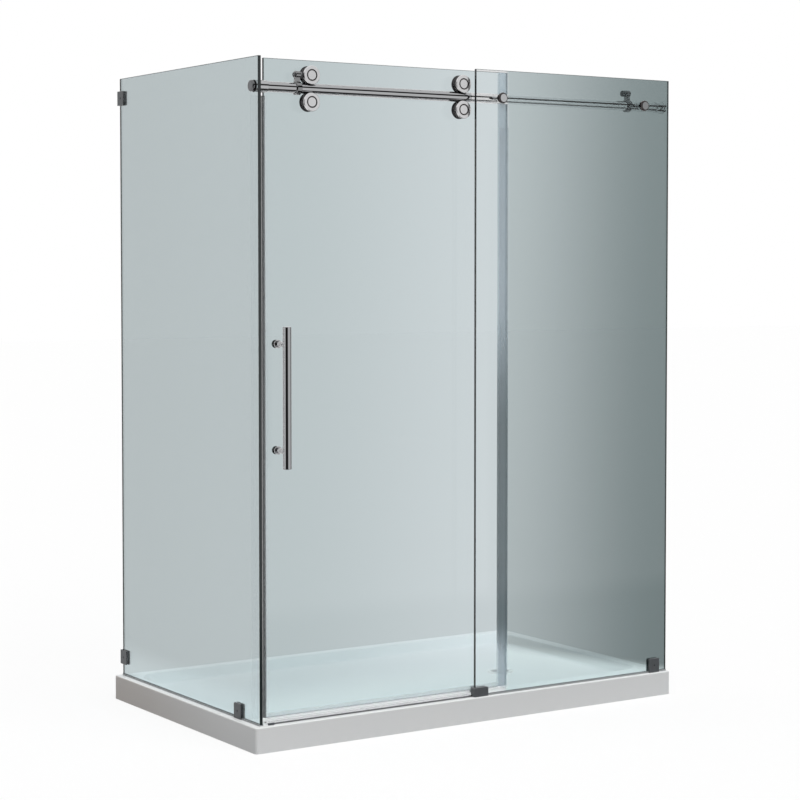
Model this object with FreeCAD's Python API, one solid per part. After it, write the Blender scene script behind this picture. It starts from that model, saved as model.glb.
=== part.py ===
"""Corner shower enclosure with a sliding glass door.

Lengths are millimetres, taken from the front left corner of the tray: X to the
right, Y towards the back wall, Z up from the floor. The finished solids are
moved so that the origin is the middle of the tray's underside.

The carriage wheels are the feature that takes the most skill: grooved wheels
on bearings, an upper pair that carries the door on the round rail and a lower
pair that keeps it from lifting off, each on an axle through the glass.
"""
import FreeCAD, Part
import math
import os
from FreeCAD import Vector

os.makedirs("parts", exist_ok=True)

X_AXIS, Y_AXIS, Z_AXIS = Vector(1, 0, 0), Vector(0, 1, 0), Vector(0, 0, 1)
EPS = 0.01
THROUGH = 1.0                     # how far a cutting tool runs past a face

# ---------------------------------------------------------- driving dimensions
# Tray
TRAY_W = 1524.0
TRAY_D = 914.0
TRAY_H = 75.0
TRAY_CORNER_R = 10.0              # upright front left corner
TRAY_EDGE_R = 4.0                 # top edge at the front and left
RIM_FRONT = 98.0
RIM_LEFT = 62.0
RIM_WALL = 38.0                   # rim along both walls
BASIN_CORNER_R = 60.0
BASIN_WALL_RUN = 30.0             # how far the basin's walls lean in
FLOOR_THICK = 17.0                # tray floor at the foot of the basin's walls
FALL = 7.0                        # drop of the floor to the waste
FALL_MARGIN = 18.0                # flat strip round the sloping floor
BASIN_RIM_R = 9.0                 # roll from the rim into the basin
BASIN_FOOT_R = 20.0               # roll from the walls to the floor
CELL_DEPTH = 27.0                 # hollows under the tray
CELLS_X = 6
CELLS_Y = 4
RIB_THICK = 12.0
SKIRT_THICK = 16.0

# Waste
WASTE_FROM_RIGHT = 344.0
WASTE_FLANGE_R = 46.0
WASTE_FLANGE_T = 3.0
WASTE_RECESS = 4.0                # flange seat below the sloping floor's end
WASTE_PIPE_R = 27.0
WASTE_BORE_R = 22.0
WASTE_TAIL_Z = 4.0                # tail end above the floor
WASTE_BOSS_R = 60.0
COVER_R = 40.0
COVER_T = 3.0
COVER_SINK = 1.5                  # cover's seat below the flange's top
COVER_SLOT = 3.6
COVER_PITCH = 8.0
COVER_SLOTS = 7

# Glass
GLASS_T = 10.0
GLASS_TOP = 1970.0
GLASS_BEVEL = 0.8
GLASS_HOLE_R = 8.0
SETTING_GAP = 3.0                 # fixed glass above the tray
RETURN_X = 22.0                   # outer face of the return panel
RETURN_FRONT = 17.0               # its front edge
RETURN_WALL_GAP = 9.0
FIXED_Y = 12.0                    # front face of the fixed panel
FIXED_LEFT = 768.0
FIXED_WALL_GAP = 4.0
DOOR_CLOSED_GAP = 38.0            # door glass to return panel
DOOR_OVERLAP = 154.0              # door glass behind the fixed panel
DOOR_LIFT = 9.0                   # door glass above the tray
DOOR_WALL_GAP = 10.0              # left when the door is open

# Rail
RAIL_R = 15.0
RAIL_WALL = 2.5
RAIL_BEHIND_EDGE = 33.0           # rail axis behind the return panel's front edge
RAIL_BELOW_TOP = 83.0
SLEEVE_WALL = 2.5
SLEEVE_LENGTH = 35.0
SLEEVE_END = 6.0
WALL_FLANGE_R = 19.5
WALL_SCREW_R = 3.0
STUD_R = 5.0
STUD_REACH = 12.0                 # thread engaged behind the glass
SCREW_CAP_R = 16.5
SCREW_CAP_T = 8.0
STANDOFF_R = 9.0
STANDOFF_FOOT_R = 14.0
STANDOFF_FOOT_T = 3.0
STANDOFF_STUD = 8.0
STANDOFF_LEFT = 96.0              # from the fixed panel's free edge
STANDOFF_RIGHT = 102.0            # from its wall edge

# Carriages
CARRIAGE_LEFT = 139.0             # from the door's leading edge
CARRIAGE_SPAN = 529.0
WHEEL_R = 27.0
WHEEL_W = 24.0
WHEEL_GROOVE_R = 23.0
RUNNING_GAP = 0.3
WHEEL_HUB_R = 9.5
WHEEL_EASE = 0.8
GROOVE_STEPS = 6
BEARING_R = 13.0
BEARING_W = 8.0
BEARING_CLEAR = 0.05
AXLE_R = 5.0
SHOULDER_R = 8.0
SIDE_PLAY = 0.4
HUB_CAP_T = 3.6
HUB_RING_OUT = 17.0
HUB_RING_IN = 13.5
HUB_RING_DEEP = 1.6
BOLT_HEAD_R = 15.0
BOLT_HEAD_T = 4.0
WHEEL_TO_GLASS = 7.0
BUSH_FLANGE_R = 12.0
BUSH_FRONT_T = 2.5
BUSH_BACK_T = 1.5
BUSH_BACK_R = 13.0

# Stops on the rail
STOP_W = 16.0
STOP_COLLAR_R = 19.5
STOP_BACK = 16.5                  # flat back, clear of the door's seals
STOP_HEAD_R = 10.5                # eye that holds the buffer
STOP_NECK = 13.0                  # side of the square neck between them
STOP_SLIT = 2.0
BUFFER_R = 9.5
BUFFER_STEM_R = 4.0
LEFT_BUFFER = 5.0                 # rubber past the left collar
RIGHT_BUFFER = 13.0               # rubber past the right collar
STOP_PLAY = 1.0
KNOB_R = 6.5
KNOB_T = 4.0

# Clamps, guide and strip
CLAMP_L = 42.0                    # along the glass
CLAMP_H = 45.0
CLAMP_CHEEK = 3.4
CLAMP_LINER = 1.0
CLAMP_WEB = 4.0
CLAMP_FOOT = 1.5
CLAMP_EASE = 0.8
CLAMP_CORNER_R = 5.0
CLAMP_UP = 62.0                   # upper wall clamp's centre below the glass top
CLAMP_DOWN = 56.0                 # lower wall clamp's centre above the glass foot
CLAMP_GRUB_R = 3.0
CLAMP_SCREW_R = 3.0
CLAMP_SCREW_SPAN = 25.0
CLAMP_SCREW_HEAD_R = 5.0
RETURN_CLAMP_BACK = 104.0         # from the return panel's front edge
FIXED_CLAMP_IN = 30.0             # from the fixed panel's wall edge
GUIDE_W = 52.0
GUIDE_H = 28.0
GUIDE_END = 6.0                   # metal past the glass edge
GUIDE_CHEEK = 5.0
GUIDE_CORNER_R = 6.0
GUIDE_EASE = 1.5
GUIDE_FOOT_T = 3.0
FINGER_W = 15.0
FINGER_H = 18.0
FINGER_T = 6.0
FINGER_CLEAR = 0.8
STRIP_T = 4.5
STRIP_FRONT = 19.0
STRIP_D = 28.0
STRIP_EASE = 1.4
STRIP_GAP = 17.0                  # from the return panel
STRIP_END_W = 19.0                # soft stop at the strip's left end
STRIP_END_D = 6.0
STRIP_END_UP = 1.0                # its top above the strip's
SEAL_T = 1.5
SEAL_LEG = 2.0

# Door seals
DOOR_SEAL_T = 1.5
LEAD_LEG = 10.0
LEAD_FIN_T = 1.4
LEAD_GAP = 1.0                    # fin's lip to the return panel
TRAIL_LEG = 30.0
TRAIL_END = 2.0
LEAD_BELOW_SLEEVE = 6.5
FIN_T = 1.6
FIN_GAP = 1.0
FIN_BELOW_WHEEL = 21.0
FIN_NOTCH_GAP = 2.0
FIN_NOTCH_UP = 5.0
SWEEP_T = 1.0
SWEEP_LEG = 12.0
SWEEP_DROP = 4.3
LIP_T = 1.2
LIP_INSET = 1.4

# Handle
HANDLE_FROM_EDGE = 42.0
HANDLE_R = 12.5
HANDLE_LENGTH = 406.0
HANDLE_POSTS = 305.0
HANDLE_MIDDLE = 1005.0
HANDLE_STAND_OFF = 55.5           # bar axis to door glass
POST_R = 8.0
ROSE_R = 12.0
ROSE_T = 4.0
WASHER_T = 1.5
WASHER_R = 11.0
HANDLE_HOLE_R = 6.0
HANDLE_BOLT_R = 4.0
HANDLE_BOLT_GRIP = 27.5           # thread inside a post
HANDLE_HEAD_T = 5.0
HEX_ACROSS = 6.0                  # key size of the bolts' sockets
HEX_DEEP = 2.5
EASE = 1.0

# --------------------------------------------------------- places worked out
RIM_Z = TRAY_H
GLASS_FOOT = TRAY_H + SETTING_GAP
RETURN_BACK = TRAY_D - RETURN_WALL_GAP
RETURN_IN = RETURN_X + GLASS_T
FIXED_RIGHT = TRAY_W - FIXED_WALL_GAP
FIXED_BACK = FIXED_Y + GLASS_T

RAIL_Y = RETURN_FRONT + RAIL_BEHIND_EDGE
RAIL_Z = GLASS_TOP - RAIL_BELOW_TOP
RAIL_START = RETURN_IN + SLEEVE_END
RAIL_END = TRAY_W - SLEEVE_END
SLEEVE_R = RAIL_R + SLEEVE_WALL

GROOVE_R = RAIL_R + RUNNING_GAP
WHEEL_DROP = WHEEL_GROOVE_R + GROOVE_R        # wheel axis to rail axis
WHEEL_FRONT = RAIL_Y - WHEEL_W / 2
WHEEL_BACK = RAIL_Y + WHEEL_W / 2
WHEEL_Z = {"upper": RAIL_Z + WHEEL_DROP, "lower": RAIL_Z - WHEEL_DROP}

DOOR_Y = WHEEL_BACK + WHEEL_TO_GLASS
DOOR_BACK = DOOR_Y + GLASS_T
DOOR_LEFT = RETURN_IN + DOOR_CLOSED_GAP
DOOR_RIGHT = FIXED_LEFT + DOOR_OVERLAP
DOOR_FOOT = RIM_Z + DOOR_LIFT
CARRIAGE_X = {"left": DOOR_LEFT + CARRIAGE_LEFT,
              "right": DOOR_LEFT + CARRIAGE_LEFT + CARRIAGE_SPAN}
TRAVEL = TRAY_W - DOOR_WALL_GAP - TRAIL_END - DOOR_RIGHT
HANDLE_X = DOOR_LEFT + HANDLE_FROM_EDGE
HANDLE_Y = DOOR_Y - HANDLE_STAND_OFF
HANDLE_Z = {"lower": HANDLE_MIDDLE - HANDLE_POSTS / 2, "upper": HANDLE_MIDDLE + HANDLE_POSTS / 2}
STANDOFF_X = {"a": FIXED_LEFT + STANDOFF_LEFT, "b": FIXED_RIGHT - STANDOFF_RIGHT}

WASTE_X, WASTE_Y = TRAY_W - WASTE_FROM_RIGHT, TRAY_D / 2
FLOOR_Z = CELL_DEPTH + FLOOR_THICK
WASTE_Z = FLOOR_Z - FALL                      # where the floor's fall ends
FLANGE_Z = WASTE_Z - WASTE_RECESS
COVER_Z = FLANGE_Z + WASTE_FLANGE_T - COVER_SINK

CLAMP_OUT = CLAMP_LINER + CLAMP_CHEEK
RETURN_CLAMP = (RETURN_FRONT + RETURN_CLAMP_BACK, RETURN_FRONT + RETURN_CLAMP_BACK + CLAMP_L)
FIXED_CLAMP = (FIXED_RIGHT - FIXED_CLAMP_IN - CLAMP_L, FIXED_RIGHT - FIXED_CLAMP_IN)
GUIDE_X0 = FIXED_LEFT - CLAMP_LINER - GUIDE_END
GUIDE_X1 = GUIDE_X0 + GUIDE_W
STRIP_X0 = RETURN_IN + STRIP_GAP

# ---------------------------------------------------------------- form helpers


def box(x_span, y_span, z_span):
    """Box between the two ends of each span, in either order."""
    lows = [min(span) for span in (x_span, y_span, z_span)]
    sizes = [abs(span[1] - span[0]) for span in (x_span, y_span, z_span)]
    return Part.makeBox(*sizes, Vector(*lows))


def cylinder(radius, start, axis, length):
    """Cylinder from the middle of its first end along an axis."""
    return Part.makeCylinder(radius, length, Vector(*start), axis)


def turned(profile, start, axis):
    """Turn (distance along the axis, radius) pairs about an axis through start."""
    origin = Vector(*start)
    radial = X_AXIS if abs(axis.z) > 0.5 else Z_AXIS
    points = [origin + axis * along + radial * radius for along, radius in profile]
    face = Part.Face(Part.makePolygon(points + [points[0]]))
    return face.revolve(origin, axis, 360)


def straight_edges(shape, axis, keep=lambda edge: True):
    """Straight edges parallel to an axis for which keep(edge) holds."""
    found = []
    for edge in shape.Edges:
        if edge.Curve.TypeId != "Part::GeomLine":
            continue
        way = edge.Vertexes[-1].Point.sub(edge.Vertexes[0].Point)
        if abs(way.dot(axis)) > way.Length - EPS and keep(edge):
            found.append(edge)
    return found


def at_height(z):
    """Edge test: the middle of the edge lies at this height."""
    return lambda edge: abs(edge.CenterOfMass.z - z) < EPS


def rounded_outline(x_span, y_span, z, radius):
    """Closed rectangle with rounded corners at height z."""
    (x0, x1), (y0, y1) = x_span, y_span
    lean = radius * (1 - math.sqrt(0.5))
    corners = [
        ((x1 - radius, y0), (x1 - lean, y0 + lean), (x1, y0 + radius)),
        ((x1, y1 - radius), (x1 - lean, y1 - lean), (x1 - radius, y1)),
        ((x0 + radius, y1), (x0 + lean, y1 - lean), (x0, y1 - radius)),
        ((x0, y0 + radius), (x0 + lean, y0 + lean), (x0 + radius, y0)),
    ]
    edges = []
    last = Vector(x0 + radius, y0, z)
    for corner in corners:
        first, middle, end = [Vector(x, y, z) for x, y in corner]
        edges.append(Part.makeLine(last, first))
        edges.append(Part.Arc(first, middle, end).toShape())
        last = end
    return Part.Wire(edges)


def hex_socket(x, y, z):
    """Tool for a key socket that opens towards +Y at (x, y, z)."""
    corner = HEX_ACROSS / math.sqrt(3)
    points = [Vector(x + corner * math.cos(math.radians(60 * k)), y - HEX_DEEP,
                     z + corner * math.sin(math.radians(60 * k))) for k in range(6)]
    return Part.Face(Part.makePolygon(points + [points[0]])).extrude(Y_AXIS * (HEX_DEEP + THROUGH))


def frustum(low_x, low_y, low_z, high_x, high_y, high_z):
    """Four-sided funnel between a small level rectangle and a larger one above."""
    corners = [(0, 0), (1, 0), (1, 1), (0, 1)]
    low = [Vector(low_x[i], low_y[j], low_z) for i, j in corners]
    high = [Vector(high_x[i], high_y[j], high_z) for i, j in corners]
    rings = [low[::-1], high]
    for k in range(4):
        n = (k + 1) % 4
        rings.append([low[k], low[n], high[n], high[k]])
    faces = [Part.Face(Part.makePolygon(ring + [ring[0]])) for ring in rings]
    return Part.makeSolid(Part.makeShell(faces))


PIECES = {}


def piece(name, shape):
    """Keep a finished solid under its name."""
    if shape.ShapeType == "Compound" and len(shape.Solids) == 1:
        shape = shape.Solids[0]
    PIECES[name] = shape


# ------------------------------------------------------------------------ tray


def under_tray_cells():
    """Grid of hollows that leaves ribs, a skirt and a boss round the waste."""
    pitch_x = (TRAY_W - 2 * SKIRT_THICK + RIB_THICK) / CELLS_X
    pitch_y = (TRAY_D - 2 * SKIRT_THICK + RIB_THICK) / CELLS_Y
    cells = []
    for i in range(CELLS_X):
        for j in range(CELLS_Y):
            x0 = SKIRT_THICK + i * pitch_x
            y0 = SKIRT_THICK + j * pitch_y
            cells.append(box((x0, x0 + pitch_x - RIB_THICK), (y0, y0 + pitch_y - RIB_THICK),
                             (-THROUGH, CELL_DEPTH)))
    boss = cylinder(WASTE_BOSS_R, (WASTE_X, WASTE_Y, -THROUGH), Z_AXIS, CELL_DEPTH + 2 * THROUGH)
    return Part.makeCompound(cells).cut(boss)


def shower_tray():
    """Moulded tray with a sunk basin whose floor falls to the waste."""
    body = box((0, TRAY_W), (0, TRAY_D), (0, TRAY_H))
    body = body.makeFillet(TRAY_CORNER_R, straight_edges(
        body, Z_AXIS, lambda e: e.CenterOfMass.x < EPS and e.CenterOfMass.y < EPS))
    body = body.makeFillet(TRAY_EDGE_R, [
        e for e in body.Edges if at_height(TRAY_H)(e) and e.BoundBox.ZLength < EPS
        and min(e.CenterOfMass.x, e.CenterOfMass.y) < TRAY_CORNER_R])

    x_span, y_span = (RIM_LEFT, TRAY_W - RIM_WALL), (RIM_FRONT, TRAY_D - RIM_WALL)
    lean = BASIN_WALL_RUN
    foot_x = (x_span[0] + lean, x_span[1] - lean)
    foot_y = (y_span[0] + lean, y_span[1] - lean)
    body = body.cut(Part.makeLoft([
        rounded_outline(x_span, y_span, TRAY_H + EPS, BASIN_CORNER_R),
        rounded_outline(foot_x, foot_y, FLOOR_Z, BASIN_CORNER_R - lean / 2)], True))
    for z, radius in ((FLOOR_Z, BASIN_FOOT_R), (TRAY_H, BASIN_RIM_R)):
        body = body.makeFillet(radius, [
            e for e in body.Edges if at_height(z)(e) and e.BoundBox.ZLength < EPS
            and x_span[0] - EPS < e.BoundBox.XMin and y_span[0] - EPS < e.BoundBox.YMin
            and e.BoundBox.XMax < x_span[1] + EPS and e.BoundBox.YMax < y_span[1] + EPS])
    reach = WASTE_FLANGE_R * 1.35
    margin = FALL_MARGIN
    body = body.cut(frustum(
        (WASTE_X - reach, WASTE_X + reach), (WASTE_Y - reach, WASTE_Y + reach), WASTE_Z,
        (foot_x[0] + margin, foot_x[1] - margin), (foot_y[0] + margin, foot_y[1] - margin),
        FLOOR_Z + EPS))
    body = body.cut(under_tray_cells())
    seat = cylinder(WASTE_FLANGE_R, (WASTE_X, WASTE_Y, FLANGE_Z), Z_AXIS, TRAY_H)
    hole = cylinder(WASTE_PIPE_R, (WASTE_X, WASTE_Y, -THROUGH), Z_AXIS, TRAY_H)
    return body.cut(seat).cut(hole)


def drain_body():
    """Waste flange in its seat, with the tail that the pipe joins."""
    top = FLANGE_Z + WASTE_FLANGE_T
    return turned(
        [(WASTE_TAIL_Z, WASTE_BORE_R), (WASTE_TAIL_Z, WASTE_PIPE_R), (FLANGE_Z, WASTE_PIPE_R),
         (FLANGE_Z, WASTE_FLANGE_R), (top, WASTE_FLANGE_R), (top, COVER_R), (COVER_Z, COVER_R),
         (COVER_Z, WASTE_BORE_R)],
        (WASTE_X, WASTE_Y, 0), Z_AXIS)


def drain_grate():
    """Lift-out cover with parallel slots."""
    cover = cylinder(COVER_R, (WASTE_X, WASTE_Y, COVER_Z), Z_AXIS, COVER_T)
    cover = cover.makeChamfer(COVER_T / 4, [e for e in cover.Edges if at_height(COVER_Z + COVER_T)(e)])
    inner = COVER_R * 0.75
    for k in range(COVER_SLOTS):
        y = WASTE_Y + (k - (COVER_SLOTS - 1) / 2) * COVER_PITCH
        half = math.sqrt(inner ** 2 - (y - WASTE_Y) ** 2)
        cover = cover.cut(box((WASTE_X - half, WASTE_X + half), (y - COVER_SLOT / 2, y + COVER_SLOT / 2),
                              (COVER_Z - THROUGH, COVER_Z + COVER_T + THROUGH)))
    return cover


piece("shower_tray", shower_tray())
piece("drain_body", drain_body())
piece("drain_grate", drain_grate())

# ----------------------------------------------------------------------- glass


def glass_sheet(x_span, y_span, z_span, through):
    """Glass sheet with a small bevel round both faces; through is its thin axis."""
    body = box(x_span, y_span, z_span)
    edges = []
    for axis in (X_AXIS, Y_AXIS, Z_AXIS):
        if abs(axis.dot(through)) < EPS:
            edges += straight_edges(body, axis)
    return body.makeChamfer(GLASS_BEVEL, edges)


def glass_hole(radius, face, x=0.0, z=0.0, through=Y_AXIS):
    """Tool for a hole through a sheet whose near face lies at face."""
    start = (face - THROUGH, x, z) if through is X_AXIS else (x, face - THROUGH, z)
    return cylinder(radius, start, through, GLASS_T + 2 * THROUGH)


return_panel = glass_sheet((RETURN_X, RETURN_IN), (RETURN_FRONT, RETURN_BACK),
                           (GLASS_FOOT, GLASS_TOP), X_AXIS)
piece("return_panel", return_panel.cut(
    glass_hole(GLASS_HOLE_R, RETURN_X, RAIL_Y, RAIL_Z, through=X_AXIS)))

fixed_panel = glass_sheet((FIXED_LEFT, FIXED_RIGHT), (FIXED_Y, FIXED_BACK),
                          (GLASS_FOOT, GLASS_TOP), Y_AXIS)
for x in STANDOFF_X.values():
    fixed_panel = fixed_panel.cut(glass_hole(GLASS_HOLE_R, FIXED_Y, x, RAIL_Z))
piece("fixed_panel", fixed_panel)

door_panel = glass_sheet((DOOR_LEFT, DOOR_RIGHT), (DOOR_Y, DOOR_BACK),
                         (DOOR_FOOT, GLASS_TOP), Y_AXIS)
for x in CARRIAGE_X.values():
    for z in WHEEL_Z.values():
        door_panel = door_panel.cut(glass_hole(GLASS_HOLE_R, DOOR_Y, x, z))
for z in HANDLE_Z.values():
    door_panel = door_panel.cut(glass_hole(HANDLE_HOLE_R, DOOR_Y, HANDLE_X, z))
piece("door_panel", door_panel)

# ------------------------------------------------------- rail and what holds it


def screw_cap(start, axis, radius, shank):
    """Domed cap with a stud; its flat back bears on the glass."""
    return turned(
        [(0, 0), (0, radius - 4.5), (1.3, radius - 1.5), (SCREW_CAP_T / 2, radius),
         (SCREW_CAP_T, radius), (SCREW_CAP_T, STUD_R), (SCREW_CAP_T + shank, STUD_R),
         (SCREW_CAP_T + shank, 0)],
        start, axis)


rail_core = cylinder(RAIL_R, (RAIL_START, RAIL_Y, RAIL_Z), X_AXIS, RAIL_END - RAIL_START)
piece("rail", rail_core.cut(cylinder(
    RAIL_R - RAIL_WALL, (RAIL_START - THROUGH, RAIL_Y, RAIL_Z), X_AXIS,
    RAIL_END - RAIL_START + 2 * THROUGH)))

# sleeve inside the return panel; its threaded boss fits the rail's bore
boss_end = STUD_REACH + 2
piece("rail_socket_return", turned(
    [(0, STUD_R), (0, SLEEVE_R), (SLEEVE_LENGTH - EASE, SLEEVE_R), (SLEEVE_LENGTH, SLEEVE_R - EASE),
     (SLEEVE_LENGTH, RAIL_R), (SLEEVE_END, RAIL_R), (SLEEVE_END, RAIL_R - RAIL_WALL),
     (boss_end, RAIL_R - RAIL_WALL), (boss_end, STUD_R)],
    (RETURN_IN, RAIL_Y, RAIL_Z), X_AXIS))
piece("rail_cap_return", screw_cap(
    (RETURN_X - SCREW_CAP_T, RAIL_Y, RAIL_Z), X_AXIS, SCREW_CAP_R, GLASS_T + STUD_REACH))

flange_at = SLEEVE_LENGTH - SLEEVE_END - EASE
piece("rail_socket_wall", turned(
    [(0, RAIL_R), (0, SLEEVE_R - EASE), (EASE, SLEEVE_R), (flange_at, SLEEVE_R),
     (flange_at, WALL_FLANGE_R - EASE), (flange_at + EASE, WALL_FLANGE_R),
     (SLEEVE_LENGTH, WALL_FLANGE_R), (SLEEVE_LENGTH, WALL_SCREW_R),
     (SLEEVE_LENGTH - SLEEVE_END, WALL_SCREW_R), (SLEEVE_LENGTH - SLEEVE_END, RAIL_R)],
    (TRAY_W - SLEEVE_LENGTH, RAIL_Y, RAIL_Z), X_AXIS))


def standoff(x):
    """Stem from the fixed glass to the rail, hollowed to sit on the rail."""
    stem = cylinder(STANDOFF_R, (x, FIXED_BACK, RAIL_Z), Y_AXIS, RAIL_Y - FIXED_BACK)
    foot = cylinder(STANDOFF_FOOT_R, (x, FIXED_BACK, RAIL_Z), Y_AXIS, STANDOFF_FOOT_T)
    thread = cylinder(STUD_R, (x, FIXED_BACK - THROUGH, RAIL_Z), Y_AXIS, STANDOFF_STUD + THROUGH)
    return stem.fuse(foot).cut(rail_core).cut(thread)


for tag, x in STANDOFF_X.items():
    piece("standoff_" + tag, standoff(x))
    piece("standoff_cap_" + tag, screw_cap(
        (x, FIXED_Y - SCREW_CAP_T, RAIL_Z), Y_AXIS, SCREW_CAP_R, GLASS_T + STANDOFF_STUD))

# -------------------------------------------------------------- stops on the rail


def stop(name, collar_x, side, reach):
    """Split collar clamped on the rail, with a buffer at wheel height.

    side is +1 where the buffer faces right; reach is the rubber's length.
    """
    half = STOP_W / 2
    z = WHEEL_Z["upper"]
    x0 = collar_x - half
    neck = STOP_NECK / 2
    body = cylinder(STOP_COLLAR_R, (x0, RAIL_Y, RAIL_Z), X_AXIS, STOP_W)
    body = body.fuse([
        box((collar_x - neck, collar_x + neck), (RAIL_Y - neck, RAIL_Y + neck), (RAIL_Z, z)),
        cylinder(STOP_HEAD_R, (x0, RAIL_Y, z), X_AXIS, STOP_W)])
    body = body.makeChamfer(EASE, [
        e for e in body.Edges if e.Curve.TypeId == "Part::GeomCircle"
        and abs(abs(e.CenterOfMass.x - collar_x) - half) < EPS])
    body = body.cut(box((x0 - THROUGH, x0 + STOP_W + THROUGH), (RAIL_Y + STOP_BACK, DOOR_Y + STOP_BACK),
                        (RAIL_Z - STOP_COLLAR_R, RAIL_Z + STOP_COLLAR_R)))
    body = body.cut(rail_core)
    body = body.cut(box(
        (x0 - THROUGH, x0 + STOP_W + THROUGH), (RAIL_Y - STOP_SLIT / 2, RAIL_Y + STOP_SLIT / 2),
        (RAIL_Z - STOP_COLLAR_R - THROUGH, RAIL_Z - RAIL_R + THROUGH)))
    body = body.cut(cylinder(BUFFER_STEM_R, (x0 - THROUGH, RAIL_Y, z), X_AXIS, STOP_W + 2 * THROUGH))
    piece("stop_collar_" + name, body)
    start = collar_x - side * (half + KNOB_T)
    piece("stop_buffer_" + name, turned(
        [(0, 0), (0, KNOB_R - EASE), (EASE, KNOB_R), (KNOB_T, KNOB_R), (KNOB_T, BUFFER_STEM_R),
         (KNOB_T + STOP_W, BUFFER_STEM_R), (KNOB_T + STOP_W, BUFFER_R),
         (KNOB_T + STOP_W + reach - EASE, BUFFER_R), (KNOB_T + STOP_W + reach, BUFFER_R - EASE),
         (KNOB_T + STOP_W + reach, 0)],
        (start, RAIL_Y, z), X_AXIS * side))


stop("left", CARRIAGE_X["left"] - WHEEL_R - STOP_PLAY - LEFT_BUFFER - STOP_W / 2, 1, LEFT_BUFFER)
stop("right", CARRIAGE_X["right"] + TRAVEL + WHEEL_R + STOP_PLAY + RIGHT_BUFFER + STOP_W / 2, -1,
     RIGHT_BUFFER)

# ---------------------------------------------------------------------- clamps


def plate_form(body, across, free_corners, held):
    """Round the free corners of a clamp's cheeks, then ease the edges away from its seat."""
    body = body.makeFillet(CLAMP_CORNER_R, straight_edges(body, across, free_corners))
    return body.makeChamfer(CLAMP_EASE, [e for e in body.Edges if not held(e)])


def wall_clamp(name, z):
    """U clamp on the back wall that grips the return panel's edge."""
    z_span = (z - CLAMP_H / 2, z + CLAMP_H / 2)
    mouth, web = TRAY_D - CLAMP_L, TRAY_D
    slot_x = (RETURN_X - CLAMP_LINER, RETURN_IN + CLAMP_LINER)
    body = box((RETURN_X - CLAMP_OUT, RETURN_IN + CLAMP_OUT), (mouth, web), z_span)
    body = plate_form(body, X_AXIS, lambda e: e.CenterOfMass.y < web - EPS,
                      lambda e: e.BoundBox.YMax > web - EPS)
    body = body.cut(box(slot_x, (mouth - THROUGH, web - CLAMP_WEB),
                        (z_span[0] - THROUGH, z_span[1] + THROUGH)))
    liner_z = (z_span[0] + CLAMP_CORNER_R / 2, z_span[1] - CLAMP_CORNER_R / 2)
    liner = box(slot_x, (mouth + EASE, web - CLAMP_WEB), liner_z)
    liner = liner.cut(box((RETURN_X, RETURN_IN), (mouth - THROUGH, RETURN_BACK), z_span))
    middle_x = RETURN_X + GLASS_T / 2
    for side in (-1, 1):
        at_z = z + side * CLAMP_SCREW_SPAN / 2
        body = body.cut(cylinder(CLAMP_SCREW_R, (middle_x, web - CLAMP_WEB - THROUGH, at_z), Y_AXIS,
                                 CLAMP_WEB + 2 * THROUGH))
        liner = liner.cut(cylinder(CLAMP_SCREW_HEAD_R, (middle_x, RETURN_BACK - THROUGH, at_z), Y_AXIS,
                                   RETURN_WALL_GAP))
    grub = cylinder(CLAMP_GRUB_R, (RETURN_X - CLAMP_OUT, (mouth + web) / 2, z), X_AXIS, CLAMP_CHEEK / 2)
    piece(name, body.cut(grub))
    piece(name + "_liner", liner)


def floor_clamp(name, across, along_span, glass_face):
    """U clamp on the tray; the glass stands on the liner in its slot.

    across is the thin axis of the glass, whose outer face lies at glass_face.
    """
    def block(across_span, length_span, z_span):
        if across is X_AXIS:
            return box(across_span, length_span, z_span)
        return box(length_span, across_span, z_span)

    past = (along_span[0] - THROUGH, along_span[1] + THROUGH)
    inset = (along_span[0] + CLAMP_CORNER_R / 2, along_span[1] - CLAMP_CORNER_R / 2)
    glass = (glass_face, glass_face + GLASS_T)
    slot = (glass[0] - CLAMP_LINER, glass[1] + CLAMP_LINER)
    top = RIM_Z + CLAMP_H
    body = block((glass[0] - CLAMP_OUT, glass[1] + CLAMP_OUT), along_span, (RIM_Z, top))
    body = plate_form(body, across, lambda e: e.CenterOfMass.z > RIM_Z + EPS,
                      lambda e: e.BoundBox.ZMin < RIM_Z + EPS)
    body = body.cut(block(slot, past, (RIM_Z + CLAMP_FOOT, top + THROUGH)))
    liner = block(slot, inset, (RIM_Z + CLAMP_FOOT, top - EASE))
    liner = liner.cut(block(glass, past, (GLASS_FOOT, top + THROUGH)))
    middle = sum(along_span) / 2
    near = glass[0] - CLAMP_OUT
    start = (near, middle) if across is X_AXIS else (middle, near)
    grub = cylinder(CLAMP_GRUB_R, (*start, RIM_Z + CLAMP_H / 2), across, CLAMP_CHEEK / 2)
    piece(name, body.cut(grub))
    piece(name + "_liner", liner)


wall_clamp("wall_clamp_upper", GLASS_TOP - CLAMP_UP)
wall_clamp("wall_clamp_lower", GLASS_FOOT + CLAMP_DOWN)
floor_clamp("floor_clamp_return", X_AXIS, RETURN_CLAMP, RETURN_X)
floor_clamp("floor_clamp_fixed", Y_AXIS, FIXED_CLAMP, FIXED_Y)

# ------------------------------------------------------------ guide at the foot


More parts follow.
